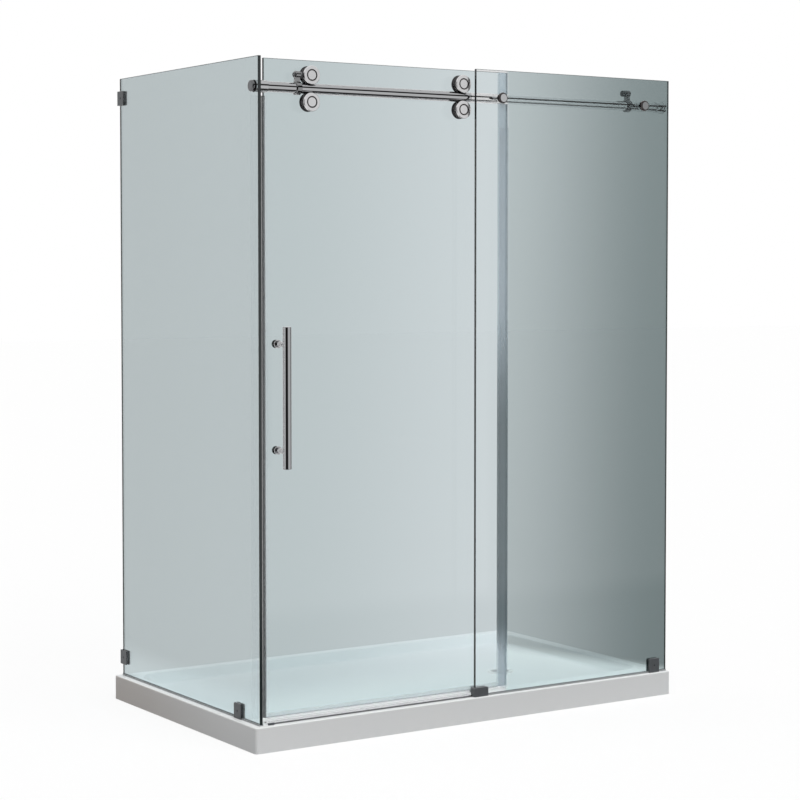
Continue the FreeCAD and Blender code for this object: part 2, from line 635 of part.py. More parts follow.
def guide_block():
    """Corner block of the fixed panel, with two fingers that guide the door."""
    out = CLAMP_LINER + GUIDE_CHEEK
    y_span = (FIXED_Y - out, FIXED_BACK + out)
    block = box((GUIDE_X0, GUIDE_X1), y_span, (RIM_Z, RIM_Z + GUIDE_H))
    block = block.makeFillet(GUIDE_CORNER_R, straight_edges(
        block, Y_AXIS, lambda e: e.CenterOfMass.z > RIM_Z + EPS))
    block = block.makeChamfer(GUIDE_EASE, [e for e in block.Edges if e.BoundBox.ZMax > RIM_Z + EPS])
    block = block.cut(box((FIXED_LEFT - CLAMP_LINER, GUIDE_X1 + THROUGH),
                          (FIXED_Y - CLAMP_LINER, FIXED_BACK + CLAMP_LINER),
                          (RIM_Z + CLAMP_FOOT, RIM_Z + GUIDE_H + THROUGH)))
    x_span = (GUIDE_X1 - FINGER_W, GUIDE_X1)
    front = DOOR_Y - SWEEP_T - FINGER_CLEAR
    rear = DOOR_BACK + SWEEP_T + FINGER_CLEAR
    parts = [box(x_span, (y_span[1] - GUIDE_CHEEK, rear + FINGER_T), (RIM_Z, RIM_Z + GUIDE_FOOT_T))]
    for y0, y1 in ((front - FINGER_T, front), (rear, rear + FINGER_T)):
        finger = box(x_span, (y0, y1), (RIM_Z, RIM_Z + FINGER_H))
        parts.append(finger.makeFillet(GUIDE_EASE, straight_edges(
            finger, X_AXIS, lambda e: e.CenterOfMass.z > RIM_Z + EPS)))
    return block.fuse(parts).removeSplitter()


def guide_liner():
    """Soft U between the guide block and the fixed panel's corner."""
    top = RIM_Z + GUIDE_H - EASE
    liner = box((FIXED_LEFT - CLAMP_LINER, GUIDE_X1 - GUIDE_CORNER_R / 2),
                (FIXED_Y - CLAMP_LINER, FIXED_BACK + CLAMP_LINER), (RIM_Z + CLAMP_FOOT, top))
    return liner.cut(box((FIXED_LEFT, GUIDE_X1), (FIXED_Y, FIXED_BACK), (GLASS_FOOT, top + THROUGH)))


def threshold_strip():
    """Low strip on the rim, from the return panel to the guide block."""
    strip = box((STRIP_X0, GUIDE_X0), (STRIP_FRONT, STRIP_FRONT + STRIP_D), (RIM_Z, RIM_Z + STRIP_T))
    return strip.makeChamfer(STRIP_EASE, straight_edges(strip, X_AXIS, at_height(RIM_Z + STRIP_T)))


def threshold_end():
    """Soft plug against the strip's front at its left end."""
    plug = box((STRIP_X0, STRIP_X0 + STRIP_END_W), (STRIP_FRONT - STRIP_END_D, STRIP_FRONT),
               (RIM_Z, RIM_Z + STRIP_T + STRIP_END_UP))
    return plug.makeChamfer(EASE, [e for e in plug.Edges if e.BoundBox.ZMax > RIM_Z + EPS
                                  and e.BoundBox.YMax < STRIP_FRONT - EPS])


piece("guide_block", guide_block())
piece("guide_liner", guide_liner())
piece("threshold_strip", threshold_strip())
piece("threshold_end", threshold_end())

# --------------------------------------------------------------------- seals


def base_seal(across, spans, glass_face):
    """Channel under fixed glass, in two lengths either side of its clamp."""
    lengths = []
    for span in spans:
        past = (span[0] - THROUGH, span[1] + THROUGH)
        outer = (glass_face - SEAL_T, glass_face + GLASS_T + SEAL_T)
        inner = (glass_face, glass_face + GLASS_T)
        z_out, z_in = (RIM_Z, GLASS_FOOT + SEAL_LEG), (GLASS_FOOT, GLASS_FOOT + SEAL_LEG + THROUGH)
        if across is X_AXIS:
            lengths.append(box(outer, span, z_out).cut(box(inner, past, z_in)))
        else:
            lengths.append(box(span, outer, z_out).cut(box(past, inner, z_in)))
    return Part.makeCompound(lengths)


piece("base_seal_return", base_seal(
    X_AXIS, ((RETURN_FRONT, RETURN_CLAMP[0]), (RETURN_CLAMP[1], RETURN_BACK)), RETURN_X))
piece("base_seal_fixed", base_seal(
    Y_AXIS, ((GUIDE_X1, FIXED_CLAMP[0]), (FIXED_CLAMP[1], FIXED_RIGHT)), FIXED_Y))

SEAL_Y = (DOOR_Y - DOOR_SEAL_T, DOOR_BACK + DOOR_SEAL_T)
LEAD_END = DOOR_LEFT + LEAD_LEG
TRAIL_START = DOOR_RIGHT - TRAIL_LEG


def door_seal_leading():
    """Channel on the leading edge with a flat soft fin towards the return panel."""
    top = RAIL_Z - SLEEVE_R - LEAD_BELOW_SLEEVE
    channel = box((DOOR_LEFT - DOOR_SEAL_T, LEAD_END), SEAL_Y, (DOOR_FOOT, top))
    channel = channel.cut(box((DOOR_LEFT, LEAD_END + THROUGH), (DOOR_Y, DOOR_BACK),
                              (DOOR_FOOT - THROUGH, top + THROUGH)))
    middle = DOOR_Y + GLASS_T / 2
    fin = box((RETURN_IN + LEAD_GAP, DOOR_LEFT - DOOR_SEAL_T / 2),
              (middle - LEAD_FIN_T / 2, middle + LEAD_FIN_T / 2), (DOOR_FOOT, top))
    return channel.fuse(fin).removeSplitter()


def door_seal_trailing():
    """Channel on the far edge with a fin that closes the gap to the fixed panel."""
    channel = box((TRAIL_START, DOOR_RIGHT + TRAIL_END), SEAL_Y, (DOOR_FOOT, GLASS_TOP))
    channel = channel.cut(box((TRAIL_START - THROUGH, DOOR_RIGHT), (DOOR_Y, DOOR_BACK),
                              (DOOR_FOOT - THROUGH, GLASS_TOP + THROUGH)))
    fin_top = WHEEL_Z["lower"] - WHEEL_R - FIN_BELOW_WHEEL
    notch_top = RIM_Z + CLAMP_H + FIN_NOTCH_UP
    x_span = (TRAIL_START, TRAIL_START + FIN_T)
    root = SEAL_Y[0] + DOOR_SEAL_T / 2
    fin = box(x_span, (FIXED_BACK + FIN_GAP, root), (DOOR_FOOT, fin_top))
    # the foot of the fin is cut back to pass the fixed panel's floor clamp
    fin = fin.cut(box((x_span[0] - THROUGH, x_span[1] + THROUGH),
                      (FIXED_BACK, FIXED_BACK + CLAMP_OUT + FIN_NOTCH_GAP),
                      (DOOR_FOOT - THROUGH, notch_top)))
    return channel.fuse(fin).removeSplitter()


def door_seal_bottom():
    """Sweep under the door: a channel with two drip lips."""
    y0, y1 = DOOR_Y - SWEEP_T, DOOR_BACK + SWEEP_T
    low = DOOR_FOOT - SWEEP_DROP
    base = DOOR_FOOT - SWEEP_T
    top = DOOR_FOOT + SWEEP_LEG
    outline = [(DOOR_Y, top), (DOOR_Y, DOOR_FOOT), (DOOR_BACK, DOOR_FOOT), (DOOR_BACK, top), (y1, top),
               (y1, base), (y1 - LIP_INSET, low), (y1 - LIP_INSET - LIP_T, low),
               (y1 - LIP_INSET - LIP_T, base), (y0 + LIP_INSET + LIP_T, base),
               (y0 + LIP_INSET + LIP_T, low), (y0 + LIP_INSET, low), (y0, base), (y0, top)]
    points = [Vector(LEAD_END, y, z) for y, z in outline]
    return Part.Face(Part.makePolygon(points + [points[0]])).extrude(X_AXIS * (TRAIL_START - LEAD_END))


piece("door_seal_leading", door_seal_leading())
piece("door_seal_trailing", door_seal_trailing())
piece("door_seal_bottom", door_seal_bottom())

# -------------------------------------------------------------------- carriages


def wheel_profile():
    """Half section of a grooved wheel, from its front face.

    The groove's straight steps touch the circle of its radius from outside, so
    that the running gap holds all the way round.
    """
    rise = WHEEL_DROP - WHEEL_R
    half_step = math.acos(rise / GROOVE_R) / GROOVE_STEPS
    corner_r = GROOVE_R / math.cos(half_step)
    half_angle = math.acos(rise / corner_r)
    groove = []
    for i in range(GROOVE_STEPS + 1):
        angle = half_angle * (2 * i / GROOVE_STEPS - 1)
        groove.append((WHEEL_W / 2 + corner_r * math.sin(angle),
                       WHEEL_DROP - corner_r * math.cos(angle)))
    seat_end = (WHEEL_W + BEARING_W) / 2
    front = [(0, BEARING_R), (0, WHEEL_R - WHEEL_EASE), (WHEEL_EASE, WHEEL_R)]
    back = [(WHEEL_W - WHEEL_EASE, WHEEL_R), (WHEEL_W, WHEEL_R - WHEEL_EASE), (WHEEL_W, WHEEL_HUB_R),
            (seat_end, WHEEL_HUB_R), (seat_end, BEARING_R)]
    return front + groove + back


def bearing_profile():
    """Half section of a shielded bearing, its front shield set back."""
    bore = AXLE_R + BEARING_CLEAR
    return [(0, bore), (0, bore + 2), (0.6, bore + 2), (0.6, BEARING_R - 2), (0, BEARING_R - 2),
            (0, BEARING_R), (BEARING_W, BEARING_R), (BEARING_W, bore)]


BEARING_FRONT = RAIL_Y - BEARING_W / 2
BEARING_BACK = RAIL_Y + BEARING_W / 2
CAP_FRONT = WHEEL_FRONT - SIDE_PLAY - HUB_CAP_T
CAP_SOCKET = 0.5                     # cap's face left in front of the axle


def hub_cap(x, z):
    """Cap in front of a wheel: ring groove, and a boss that takes the axle's end."""
    end = BEARING_FRONT - SIDE_PLAY - CAP_FRONT
    bottom = HUB_RING_DEEP + 2 * CAP_SOCKET
    return turned(
        [(0, 0), (0, HUB_RING_IN - CAP_SOCKET), (CAP_SOCKET, HUB_RING_IN), (HUB_RING_DEEP, HUB_RING_IN),
         (HUB_RING_DEEP, HUB_RING_OUT), (0, HUB_RING_OUT), (0, WHEEL_R - 1.4), (1.4, WHEEL_R),
         (HUB_CAP_T, WHEEL_R), (HUB_CAP_T, SHOULDER_R), (end, SHOULDER_R), (end, AXLE_R),
         (bottom, AXLE_R), (bottom, 0)],
        (x, CAP_FRONT, z), Y_AXIS)


def axle(x, z):
    """Bolt through the glass: domed head inside, shoulder, and the wheel's journal."""
    start = CAP_FRONT + HUB_RING_DEEP + 2 * CAP_SOCKET
    shoulder = (BEARING_BACK + SIDE_PLAY - start, DOOR_Y - BUSH_FRONT_T - start)
    head = DOOR_BACK + BUSH_BACK_T - start
    bolt = turned(
        [(0, 0), (0, AXLE_R), (shoulder[0], AXLE_R), (shoulder[0], SHOULDER_R), (shoulder[1], SHOULDER_R),
         (shoulder[1], AXLE_R), (head, AXLE_R), (head, BOLT_HEAD_R), (head + BOLT_HEAD_T / 2, BOLT_HEAD_R),
         (head + BOLT_HEAD_T, BOLT_HEAD_R - 2), (head + BOLT_HEAD_T, 0)],
        (x, start, z), Y_AXIS)
    return bolt.cut(hex_socket(x, start + head + BOLT_HEAD_T, z))


def glass_bush(x, z):
    """Bush that keeps the axle off the glass, flanged on both faces."""
    back = BUSH_FRONT_T + GLASS_T
    return turned(
        [(0, AXLE_R), (0, BUSH_FLANGE_R), (BUSH_FRONT_T, BUSH_FLANGE_R), (BUSH_FRONT_T, GLASS_HOLE_R),
         (back, GLASS_HOLE_R), (back, BUSH_BACK_R), (back + BUSH_BACK_T, BUSH_BACK_R),
         (back + BUSH_BACK_T, AXLE_R)],
        (x, DOOR_Y - BUSH_FRONT_T, z), Y_AXIS)


for level, z in WHEEL_Z.items():
    for side, x in CARRIAGE_X.items():
        tag = level + "_" + side
        piece("wheel_" + tag, turned(wheel_profile(), (x, WHEEL_FRONT, z), Y_AXIS))
        piece("bearing_" + tag, turned(bearing_profile(), (x, BEARING_FRONT, z), Y_AXIS))
        piece("hub_cap_" + tag, hub_cap(x, z))
        piece("axle_" + tag, axle(x, z))
        piece("glass_bush_" + tag, glass_bush(x, z))

# ----------------------------------------------------------------------- handle
POST_END = DOOR_Y - WASHER_T


def handle_bar():
    """Upright bar on two posts, each with a flange at the glass."""
    foot = HANDLE_MIDDLE - HANDLE_LENGTH / 2
    bar = cylinder(HANDLE_R, (HANDLE_X, HANDLE_Y, foot), Z_AXIS, HANDLE_LENGTH)
    bar = bar.makeChamfer(EASE, [e for e in bar.Edges if e.Curve.TypeId == "Part::GeomCircle"])
    for z in HANDLE_Z.values():
        bar = bar.fuse(cylinder(POST_R, (HANDLE_X, HANDLE_Y, z), Y_AXIS, POST_END - HANDLE_Y))
        bar = bar.fuse(cylinder(ROSE_R, (HANDLE_X, POST_END - ROSE_T, z), Y_AXIS, ROSE_T))
    for z in HANDLE_Z.values():
        bar = bar.cut(cylinder(HANDLE_BOLT_R, (HANDLE_X, POST_END - HANDLE_BOLT_GRIP, z), Y_AXIS,
                               HANDLE_BOLT_GRIP + THROUGH))
    return bar


piece("handle_bar", handle_bar())
for level, z in HANDLE_Z.items():
    piece("handle_washer_" + level, turned(
        [(0, HANDLE_BOLT_R), (0, WASHER_R), (WASHER_T, WASHER_R), (WASHER_T, HANDLE_HOLE_R),
         (WASHER_T + GLASS_T, HANDLE_HOLE_R), (WASHER_T + GLASS_T, HANDLE_BOLT_R)],
        (HANDLE_X, POST_END, z), Y_AXIS))
    shank = HANDLE_BOLT_GRIP + WASHER_T + GLASS_T
    bolt = turned(
        [(0, 0), (0, HANDLE_BOLT_R), (shank, HANDLE_BOLT_R), (shank, ROSE_R),
         (shank + HANDLE_HEAD_T - EASE, ROSE_R), (shank + HANDLE_HEAD_T, ROSE_R - EASE),
         (shank + HANDLE_HEAD_T, 0)],
        (HANDLE_X, POST_END - HANDLE_BOLT_GRIP, z), Y_AXIS)
    piece("handle_bolt_" + level, bolt.cut(hex_socket(
        HANDLE_X, POST_END - HANDLE_BOLT_GRIP + shank + HANDLE_HEAD_T, z)))

# ----------------------------------------------------------------------- output
TO_ORIGIN = Vector(-TRAY_W / 2, -TRAY_D / 2, 0)
for name, shape in PIECES.items():
    placed = shape.copy()
    placed.translate(TO_ORIGIN)
    placed.exportStep("parts/" + name + ".step")
print(len(PIECES), "pieces")
print("door travel", round(TRAVEL, 1), "wheel turns per metre", round(1000 / WHEEL_GROOVE_R, 4))
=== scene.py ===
"""Looks of a corner shower enclosure with a sliding glass door.

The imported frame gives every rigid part, in metres. This script gives each part
its finish, adds the small fittings that ride on the parts, and sets up the
studio and the camera. Each sub-assembly is a class; main() builds them in turn.
"""
import logging
import math
from dataclasses import dataclass
from enum import Enum
from typing import Any, Optional, Sequence, Union

import bmesh
import bpy
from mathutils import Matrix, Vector


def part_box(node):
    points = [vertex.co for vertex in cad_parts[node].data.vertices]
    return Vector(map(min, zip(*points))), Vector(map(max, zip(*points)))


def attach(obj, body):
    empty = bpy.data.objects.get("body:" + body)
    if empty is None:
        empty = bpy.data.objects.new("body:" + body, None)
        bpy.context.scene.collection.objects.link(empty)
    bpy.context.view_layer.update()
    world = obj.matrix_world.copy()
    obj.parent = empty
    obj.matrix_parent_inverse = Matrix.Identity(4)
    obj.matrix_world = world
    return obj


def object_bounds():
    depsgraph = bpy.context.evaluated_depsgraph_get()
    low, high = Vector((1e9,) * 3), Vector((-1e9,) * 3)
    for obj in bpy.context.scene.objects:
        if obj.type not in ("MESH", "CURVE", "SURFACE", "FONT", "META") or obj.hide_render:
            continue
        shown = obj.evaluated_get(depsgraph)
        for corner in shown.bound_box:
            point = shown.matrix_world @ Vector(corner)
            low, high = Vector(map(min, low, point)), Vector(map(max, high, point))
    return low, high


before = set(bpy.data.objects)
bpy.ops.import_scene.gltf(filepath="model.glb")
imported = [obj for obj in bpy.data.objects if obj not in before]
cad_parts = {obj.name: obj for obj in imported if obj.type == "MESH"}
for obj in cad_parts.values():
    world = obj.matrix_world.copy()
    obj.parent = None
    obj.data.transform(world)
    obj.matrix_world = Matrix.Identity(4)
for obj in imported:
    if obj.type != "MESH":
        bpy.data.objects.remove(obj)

CAD_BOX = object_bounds()
LOG = logging.getLogger("enclosure")

MM = 0.001
TINY = 0.001                       # keeps a division away from zero
HEXAGON = 6
TALL = CAD_BOX[1].z
Colour = tuple[float, float, float]
Point = tuple[float, float, float]

BLACK: Colour = (0.0, 0.0, 0.0)
WHITE: Colour = (1.0, 1.0, 1.0)


# ------------------------------------------------------------------ node trees


class Signal:
    """One output socket; arithmetic on it adds Math nodes to its tree."""

    def __init__(self, plan: "Plan", socket: bpy.types.NodeSocket) -> None:
        """Keep the socket with the plan that it belongs to."""
        self.plan = plan
        self.socket = socket

    def _math(self, operation: str, *values: "Value") -> "Signal":
        """Add one Math node fed by values, in their order."""
        return self.plan.signal("ShaderNodeMath", {"operation": operation},
                                dict(enumerate(values)), 0)

    def __add__(self, other: "Value") -> "Signal":
        """self + other."""
        return self._math("ADD", self, other)

    def __radd__(self, other: "Value") -> "Signal":
        """other + self."""
        return self._math("ADD", other, self)

    def __sub__(self, other: "Value") -> "Signal":
        """self - other."""
        return self._math("SUBTRACT", self, other)

    def __rsub__(self, other: "Value") -> "Signal":
        """other - self."""
        return self._math("SUBTRACT", other, self)

    def __mul__(self, other: "Value") -> "Signal":
        """self * other."""
        return self._math("MULTIPLY", self, other)

    def __rmul__(self, other: "Value") -> "Signal":
        """other * self."""
        return self._math("MULTIPLY", other, self)

    def __truediv__(self, other: "Value") -> "Signal":
        """self / other."""
        return self._math("DIVIDE", self, other)

    def __rtruediv__(self, other: "Value") -> "Signal":
        """other / self."""
        return self._math("DIVIDE", other, self)

    def __abs__(self) -> "Signal":
        """Size of self without its sign."""
        return self._math("ABSOLUTE", self)

    def at_least(self, other: "Value") -> "Signal":
        """The larger of self and other."""
        return self._math("MAXIMUM", self, other)

    def root(self) -> "Signal":
        """Square root."""
        return self._math("SQRT", self)

    def ramp(self, low: float, high: float) -> "Signal":
        """Smooth step from 0 at low to 1 at high.

        Args:
            low: the value that gives 0. It may be the larger.
            high: the value that gives 1.

        Returns:
            The step.
        """
        return self.plan.signal(
            "ShaderNodeMapRange", {"interpolation_type": "SMOOTHSTEP"},
            {"Value": self, "From Min": low, "From Max": high}, "Result")


Value = Union[Signal, float, int, bool, Sequence[float], bpy.types.Object]


class Plan:
    """A node tree under construction; shader and geometry trees share it."""

    def __init__(self, tree: bpy.types.NodeTree) -> None:
        """Start from an empty tree."""
        self.tree = tree
        tree.nodes.clear()

    def node(self, kind: str, settings: Optional[dict[str, Any]] = None,
             sockets: Optional[dict[Union[str, int], Value]] = None) -> bpy.types.Node:
        """Add a node.

        Args:
            kind: the node's type, such as "ShaderNodeTexNoise".
            settings: its own properties, such as a Math node's operation,
                which are set first.
            sockets: values or signals for its inputs, by name or number.

        Returns:
            The new node.
        """
        made = self.tree.nodes.new(kind)
        for key, value in (settings or {}).items():
            setattr(made, key, value)
        for key, value in (sockets or {}).items():
            if isinstance(value, Signal):
                self.tree.links.new(value.socket, made.inputs[key])
            else:
                made.inputs[key].default_value = value
        return made

    def signal(self, kind: str, settings: Optional[dict[str, Any]] = None,
               sockets: Optional[dict[Union[str, int], Value]] = None,
               output: Union[str, int] = 0) -> Signal:
        """Add a node and give back one of its outputs as a signal."""
        return Signal(self, self.node(kind, settings, sockets).outputs[output])

    def split(self, vector: Signal) -> tuple[Signal, Signal, Signal]:
        """The three parts of a vector."""
        parts = self.node("ShaderNodeSeparateXYZ", None, {0: vector})
        return tuple(Signal(self, parts.outputs[k]) for k in range(3))

    def path(self, output: str) -> Signal:
        """One of the values that tell what kind of ray asks, and its past."""
        return self.signal("ShaderNodeLightPath", None, None, output)

    def mirrored(self) -> Signal:
        """1 for light that something glossy mirrors on its way, or else 0."""
        none, once = 0.4, 0.6      # either side of a half, as the depth is a whole number
        return self.path("Glossy Depth").ramp(none, once)


class Recipe(Plan):
    """Shader tree of one material, with the nodes its finishes share."""

    def __init__(self, name: str) -> None:
        """Make the material with an empty tree.

        Args:
            name: the material's name.
        """
        self.material = bpy.data.materials.new(name)
        self.material.use_nodes = True
        super().__init__(self.material.node_tree)

    def finish(self, surface: Signal) -> bpy.types.Material:
        """Join the last shader to the output and give back the material."""
        self.node("ShaderNodeOutputMaterial", None, {"Surface": surface})
        return self.material

    def place(self, centre: Point = (0, 0, 0), scale: Point = (1, 1, 1)) -> Signal:
        """Object coordinates measured from a centre, then stretched.

        Args:
            centre: the point that becomes the origin, in metres.
            scale: what each axis is stretched by.

        Returns:
            The place on the piece, as a vector.
        """
        there = self.signal("ShaderNodeTexCoord", None, None, "Object")
        moved = self.signal("ShaderNodeVectorMath", {"operation": "SUBTRACT"},
                            {0: there, 1: centre}, 0)
        return self.signal("ShaderNodeVectorMath", {"operation": "MULTIPLY"},
                           {0: moved, 1: scale}, 0)

    def normal(self) -> tuple[Signal, Signal, Signal]:
        """The three parts of the surface's own normal."""
        return self.split(self.signal("ShaderNodeTexCoord", None, None, "Normal"))

    def noise(self, where: Signal, scale: float, detail: float = 2.0) -> Signal:
        """Smooth noise around 0.5."""
        return self.signal("ShaderNodeTexNoise", None,
                           {"Vector": where, "Scale": scale, "Detail": detail}, 0)

    def blend(self, share: Value, first: Union[Signal, Colour],
              second: Union[Signal, Colour]) -> Signal:
        """Colour between first (share 0) and second (share 1).

        Args:
            share: the part that the second takes, held between 0 and 1.
            first, second: plain colours or signals.

        Returns:
            The blended colour.
        """
        def wide(colour: Union[Signal, Colour]) -> Value:
            """A plain colour gets its fourth value."""
            return colour if isinstance(colour, Signal) else (*colour, 1.0)

        made = self.node("ShaderNodeMix", {"data_type": "RGBA", "clamp_factor": True},
                         {0: share, 6: wide(first), 7: wide(second)})
        return Signal(self, made.outputs[2])

    def bump(self, height: Signal, distance: float) -> Signal:
        """Normal of a surface whose relief is distance metres deep."""
        return self.signal("ShaderNodeBump", None,
                           {"Height": height, "Distance": distance, "Strength": 1.0}, 0)

    def shader(self, sockets: dict[str, Value]) -> Signal:
        """A Principled shader."""
        return self.signal("ShaderNodeBsdfPrincipled", None, sockets, 0)

    def mix_shaders(self, share: Value, first: Signal, second: Signal) -> Signal:
        """Shader between first (share 0) and second (share 1)."""
        return self.signal("ShaderNodeMixShader", None, {0: share, 1: first, 2: second}, 0)


# -------------------------------------------------------------------- finishes


class Grain(Enum):
    """Which way the polishing marks of a metal run."""

    ALONG_X = "along x"
    ALONG_Z = "along z"
    TURNED_X = "turned about x"
    TURNED_Y = "turned about y"
    TURNED_Z = "turned about z"
    EVEN = "even"


@dataclass(frozen=True)
class Finish:
    """What every finish shares: a name, a colour and how it is put on."""

    name: str
    colour: Colour

    def surface(self, recipe: Recipe) -> Signal:
        """The finish's shader."""
        raise NotImplementedError

    def material(self) -> bpy.types.Material:
        """The finish as a material, made once for each name.

        Returns:
            The material.
        """
        known = bpy.data.materials.get(self.name)
        if known is not None:
            return known
        recipe = Recipe(self.name)
        return recipe.finish(self.surface(recipe))

    def dress(self, *things: bpy.types.Object) -> None:
        """Put the finish on every material slot of each piece.

        Args:
            things: the pieces' objects.
        """
        made = self.material()
        for thing in things:
            if not thing.material_slots:
                thing.data.materials.append(made)
            for slot in thing.material_slots:
                slot.material = made


@dataclass(frozen=True)
class Metal(Finish):
    """Plated, polished or anodised metal with fine marks from its making."""

    roughness: float = 0.09
    grain: Grain = Grain.EVEN
    centre: Point = (0, 0, 0)
    marks: float = 0.05            # how much the marks change the tone
    relief: float = 0.004 * MM     # depth of the marks
    fineness: float = 900.0        # marks per metre, across them
    slowness: float = 2.5          # and along them
    painted_light: Optional[Colour] = None          # painted light: lighter colour past the place given next
    painted_light_from: float = 0.0     # where along X it takes over
    painted_light_fade: float = 1 * MM
    cloud_scale: float = 14.0
    dulling: float = 0.3           # how far the darkest tone goes towards black

    def _marks(self, recipe: Recipe) -> Signal:
        """Noise drawn out along the marks.

        Args:
            recipe: the material's tree.

        Returns:
            The marks, around 0.5.
        """
        fine, slow = self.fineness, self.slowness
        if self.grain is Grain.EVEN:
            return recipe.noise(recipe.place(self.centre), fine, 3)
        if self.grain is Grain.ALONG_X:
            return recipe.noise(recipe.place(self.centre, (slow, fine, fine)), 1, 2)
        if self.grain is Grain.ALONG_Z:
            return recipe.noise(recipe.place(self.centre, (fine, fine, slow)), 1, 2)
        x, y, z = recipe.split(recipe.place(self.centre))
        along, side_a, side_b = {Grain.TURNED_X: (x, y, z), Grain.TURNED_Y: (y, x, z),
                                 Grain.TURNED_Z: (z, x, y)}[self.grain]
        radius = (side_a * side_a + side_b * side_b).root()
        where = recipe.signal("ShaderNodeCombineXYZ", None,
                              {0: radius * fine, 1: along * fine, 2: 0.0}, 0)
        return recipe.noise(where, 1, 2)

    def _tint(self, recipe: Recipe, tone: Signal) -> Signal:
        """Base colour, duller or lighter with the tone, and painted lighter past
        painted_light_from.

        Args:
            recipe: the material's tree.
            tone: lighter or darker, around 0.

        Returns:
            The colour.
        """
        plain: Union[Signal, Colour] = self.colour
        # painted light: lighter past painted_light_from, for metal seen through tinted glass
        if self.painted_light is not None:
            x, _, _ = recipe.split(recipe.place())
            past = x.ramp(self.painted_light_from - self.painted_light_fade,
                          self.painted_light_from + self.painted_light_fade)
            plain = recipe.blend(past, self.colour, self.painted_light)
        return recipe.blend((0.5 - tone) * self.dulling, plain, BLACK)

    def surface(self, recipe: Recipe) -> Signal:
        """Bare metal whose tone, gloss and relief follow the marks.

        Args:
            recipe: the material's tree.

        Returns:
            The shader.
        """
        marks = self._marks(recipe)
        cloud = recipe.noise(recipe.place(self.centre), self.cloud_scale, 2)
        tone = (marks - 0.5) * self.marks * 2 + (cloud - 0.5) * self.marks
        return recipe.shader({
            "Base Color": self._tint(recipe, tone),
            "Metallic": 1.0,
            "Roughness": (marks * 0.5 + cloud * 0.5) * self.roughness + self.roughness * 0.5,
            "Normal": recipe.bump(marks, self.relief)})


@dataclass(frozen=True)
class RingedMetal(Metal):
    """Metal turned about Y with a dark ring round its centre, a painted groove shade."""

    ring: tuple[float, float] = (13.2 * MM, 17.2 * MM)
    painted_groove_shade: Colour = (0.06, 0.055, 0.055)
    ring_soft: float = 0.6 * MM

    def _tint(self, recipe: Recipe, tone: Signal) -> Signal:
        """Base colour with the painted groove shade laid over it as a ring.

        Args:
            recipe: the material's tree.
            tone: lighter or darker, around 0.

        Returns:
            The colour.
        """
        plain = super()._tint(recipe, tone)
        x, _, z = recipe.split(recipe.place(self.centre))
        radius = (x * x + z * z).root()
        inside, outside = self.ring
        # painted shade: a dark ring where a groove's shade would fall
        ring = (radius.ramp(inside - self.ring_soft, inside + self.ring_soft)
                * radius.ramp(outside + self.ring_soft, outside - self.ring_soft))
        return recipe.blend(ring, plain, self.painted_groove_shade)


@dataclass(frozen=True)
class FrontShadedMetal(Metal):
    """Metal bar along X with a painted shade on its upright front face."""

    # painted shade: the front face's dark colour
    edge_colour: Colour = (0.12, 0.12, 0.13)
    edge_turn: tuple[float, float] = (-0.5, -0.8)  # normal's Y: plain, and fully dark

    def _tint(self, recipe: Recipe, tone: Signal) -> Signal:
        """Base colour, with painted shade on the face that looks to the front.

        Args:
            recipe: the material's tree.
            tone: lighter or darker, around 0.

        Returns:
            The colour.
        """
        plain = super()._tint(recipe, tone)
        _, front, _ = recipe.normal()
        return recipe.blend(front.ramp(*self.edge_turn), plain, self.edge_colour)


@dataclass(frozen=True)
class Moulded(Finish):
    """Moulded plastic or rubber with a fine even grain."""

    roughness: float = 0.45
    grain_scale: float = 2600.0
    relief: float = 0.02 * MM
    tone_change: float = 0.06
    gloss_change: float = 0.2      # how much the grain changes the roughness
    cloud_scale: float = 22.0
    index: float = 1.45

    def surface(self, recipe: Recipe) -> Signal:
        """Plastic whose grain shows in its gloss and relief.

        Args:
            recipe: the material's tree.

        Returns:
            The shader.
        """
        grain = recipe.noise(recipe.place(), self.grain_scale, 2)
        cloud = recipe.noise(recipe.place(), self.cloud_scale, 3)
        darker = tuple(c * (1 - self.tone_change) for c in self.colour)
        lighter = tuple(min(1.0, c * (1 + self.tone_change)) for c in self.colour)
        return recipe.shader({
            "Base Color": recipe.blend(cloud, darker, lighter),
            "Roughness": grain * self.gloss_change + (self.roughness - self.gloss_change / 2),
            "IOR": self.index,
            "Normal": recipe.bump(grain, self.relief)})


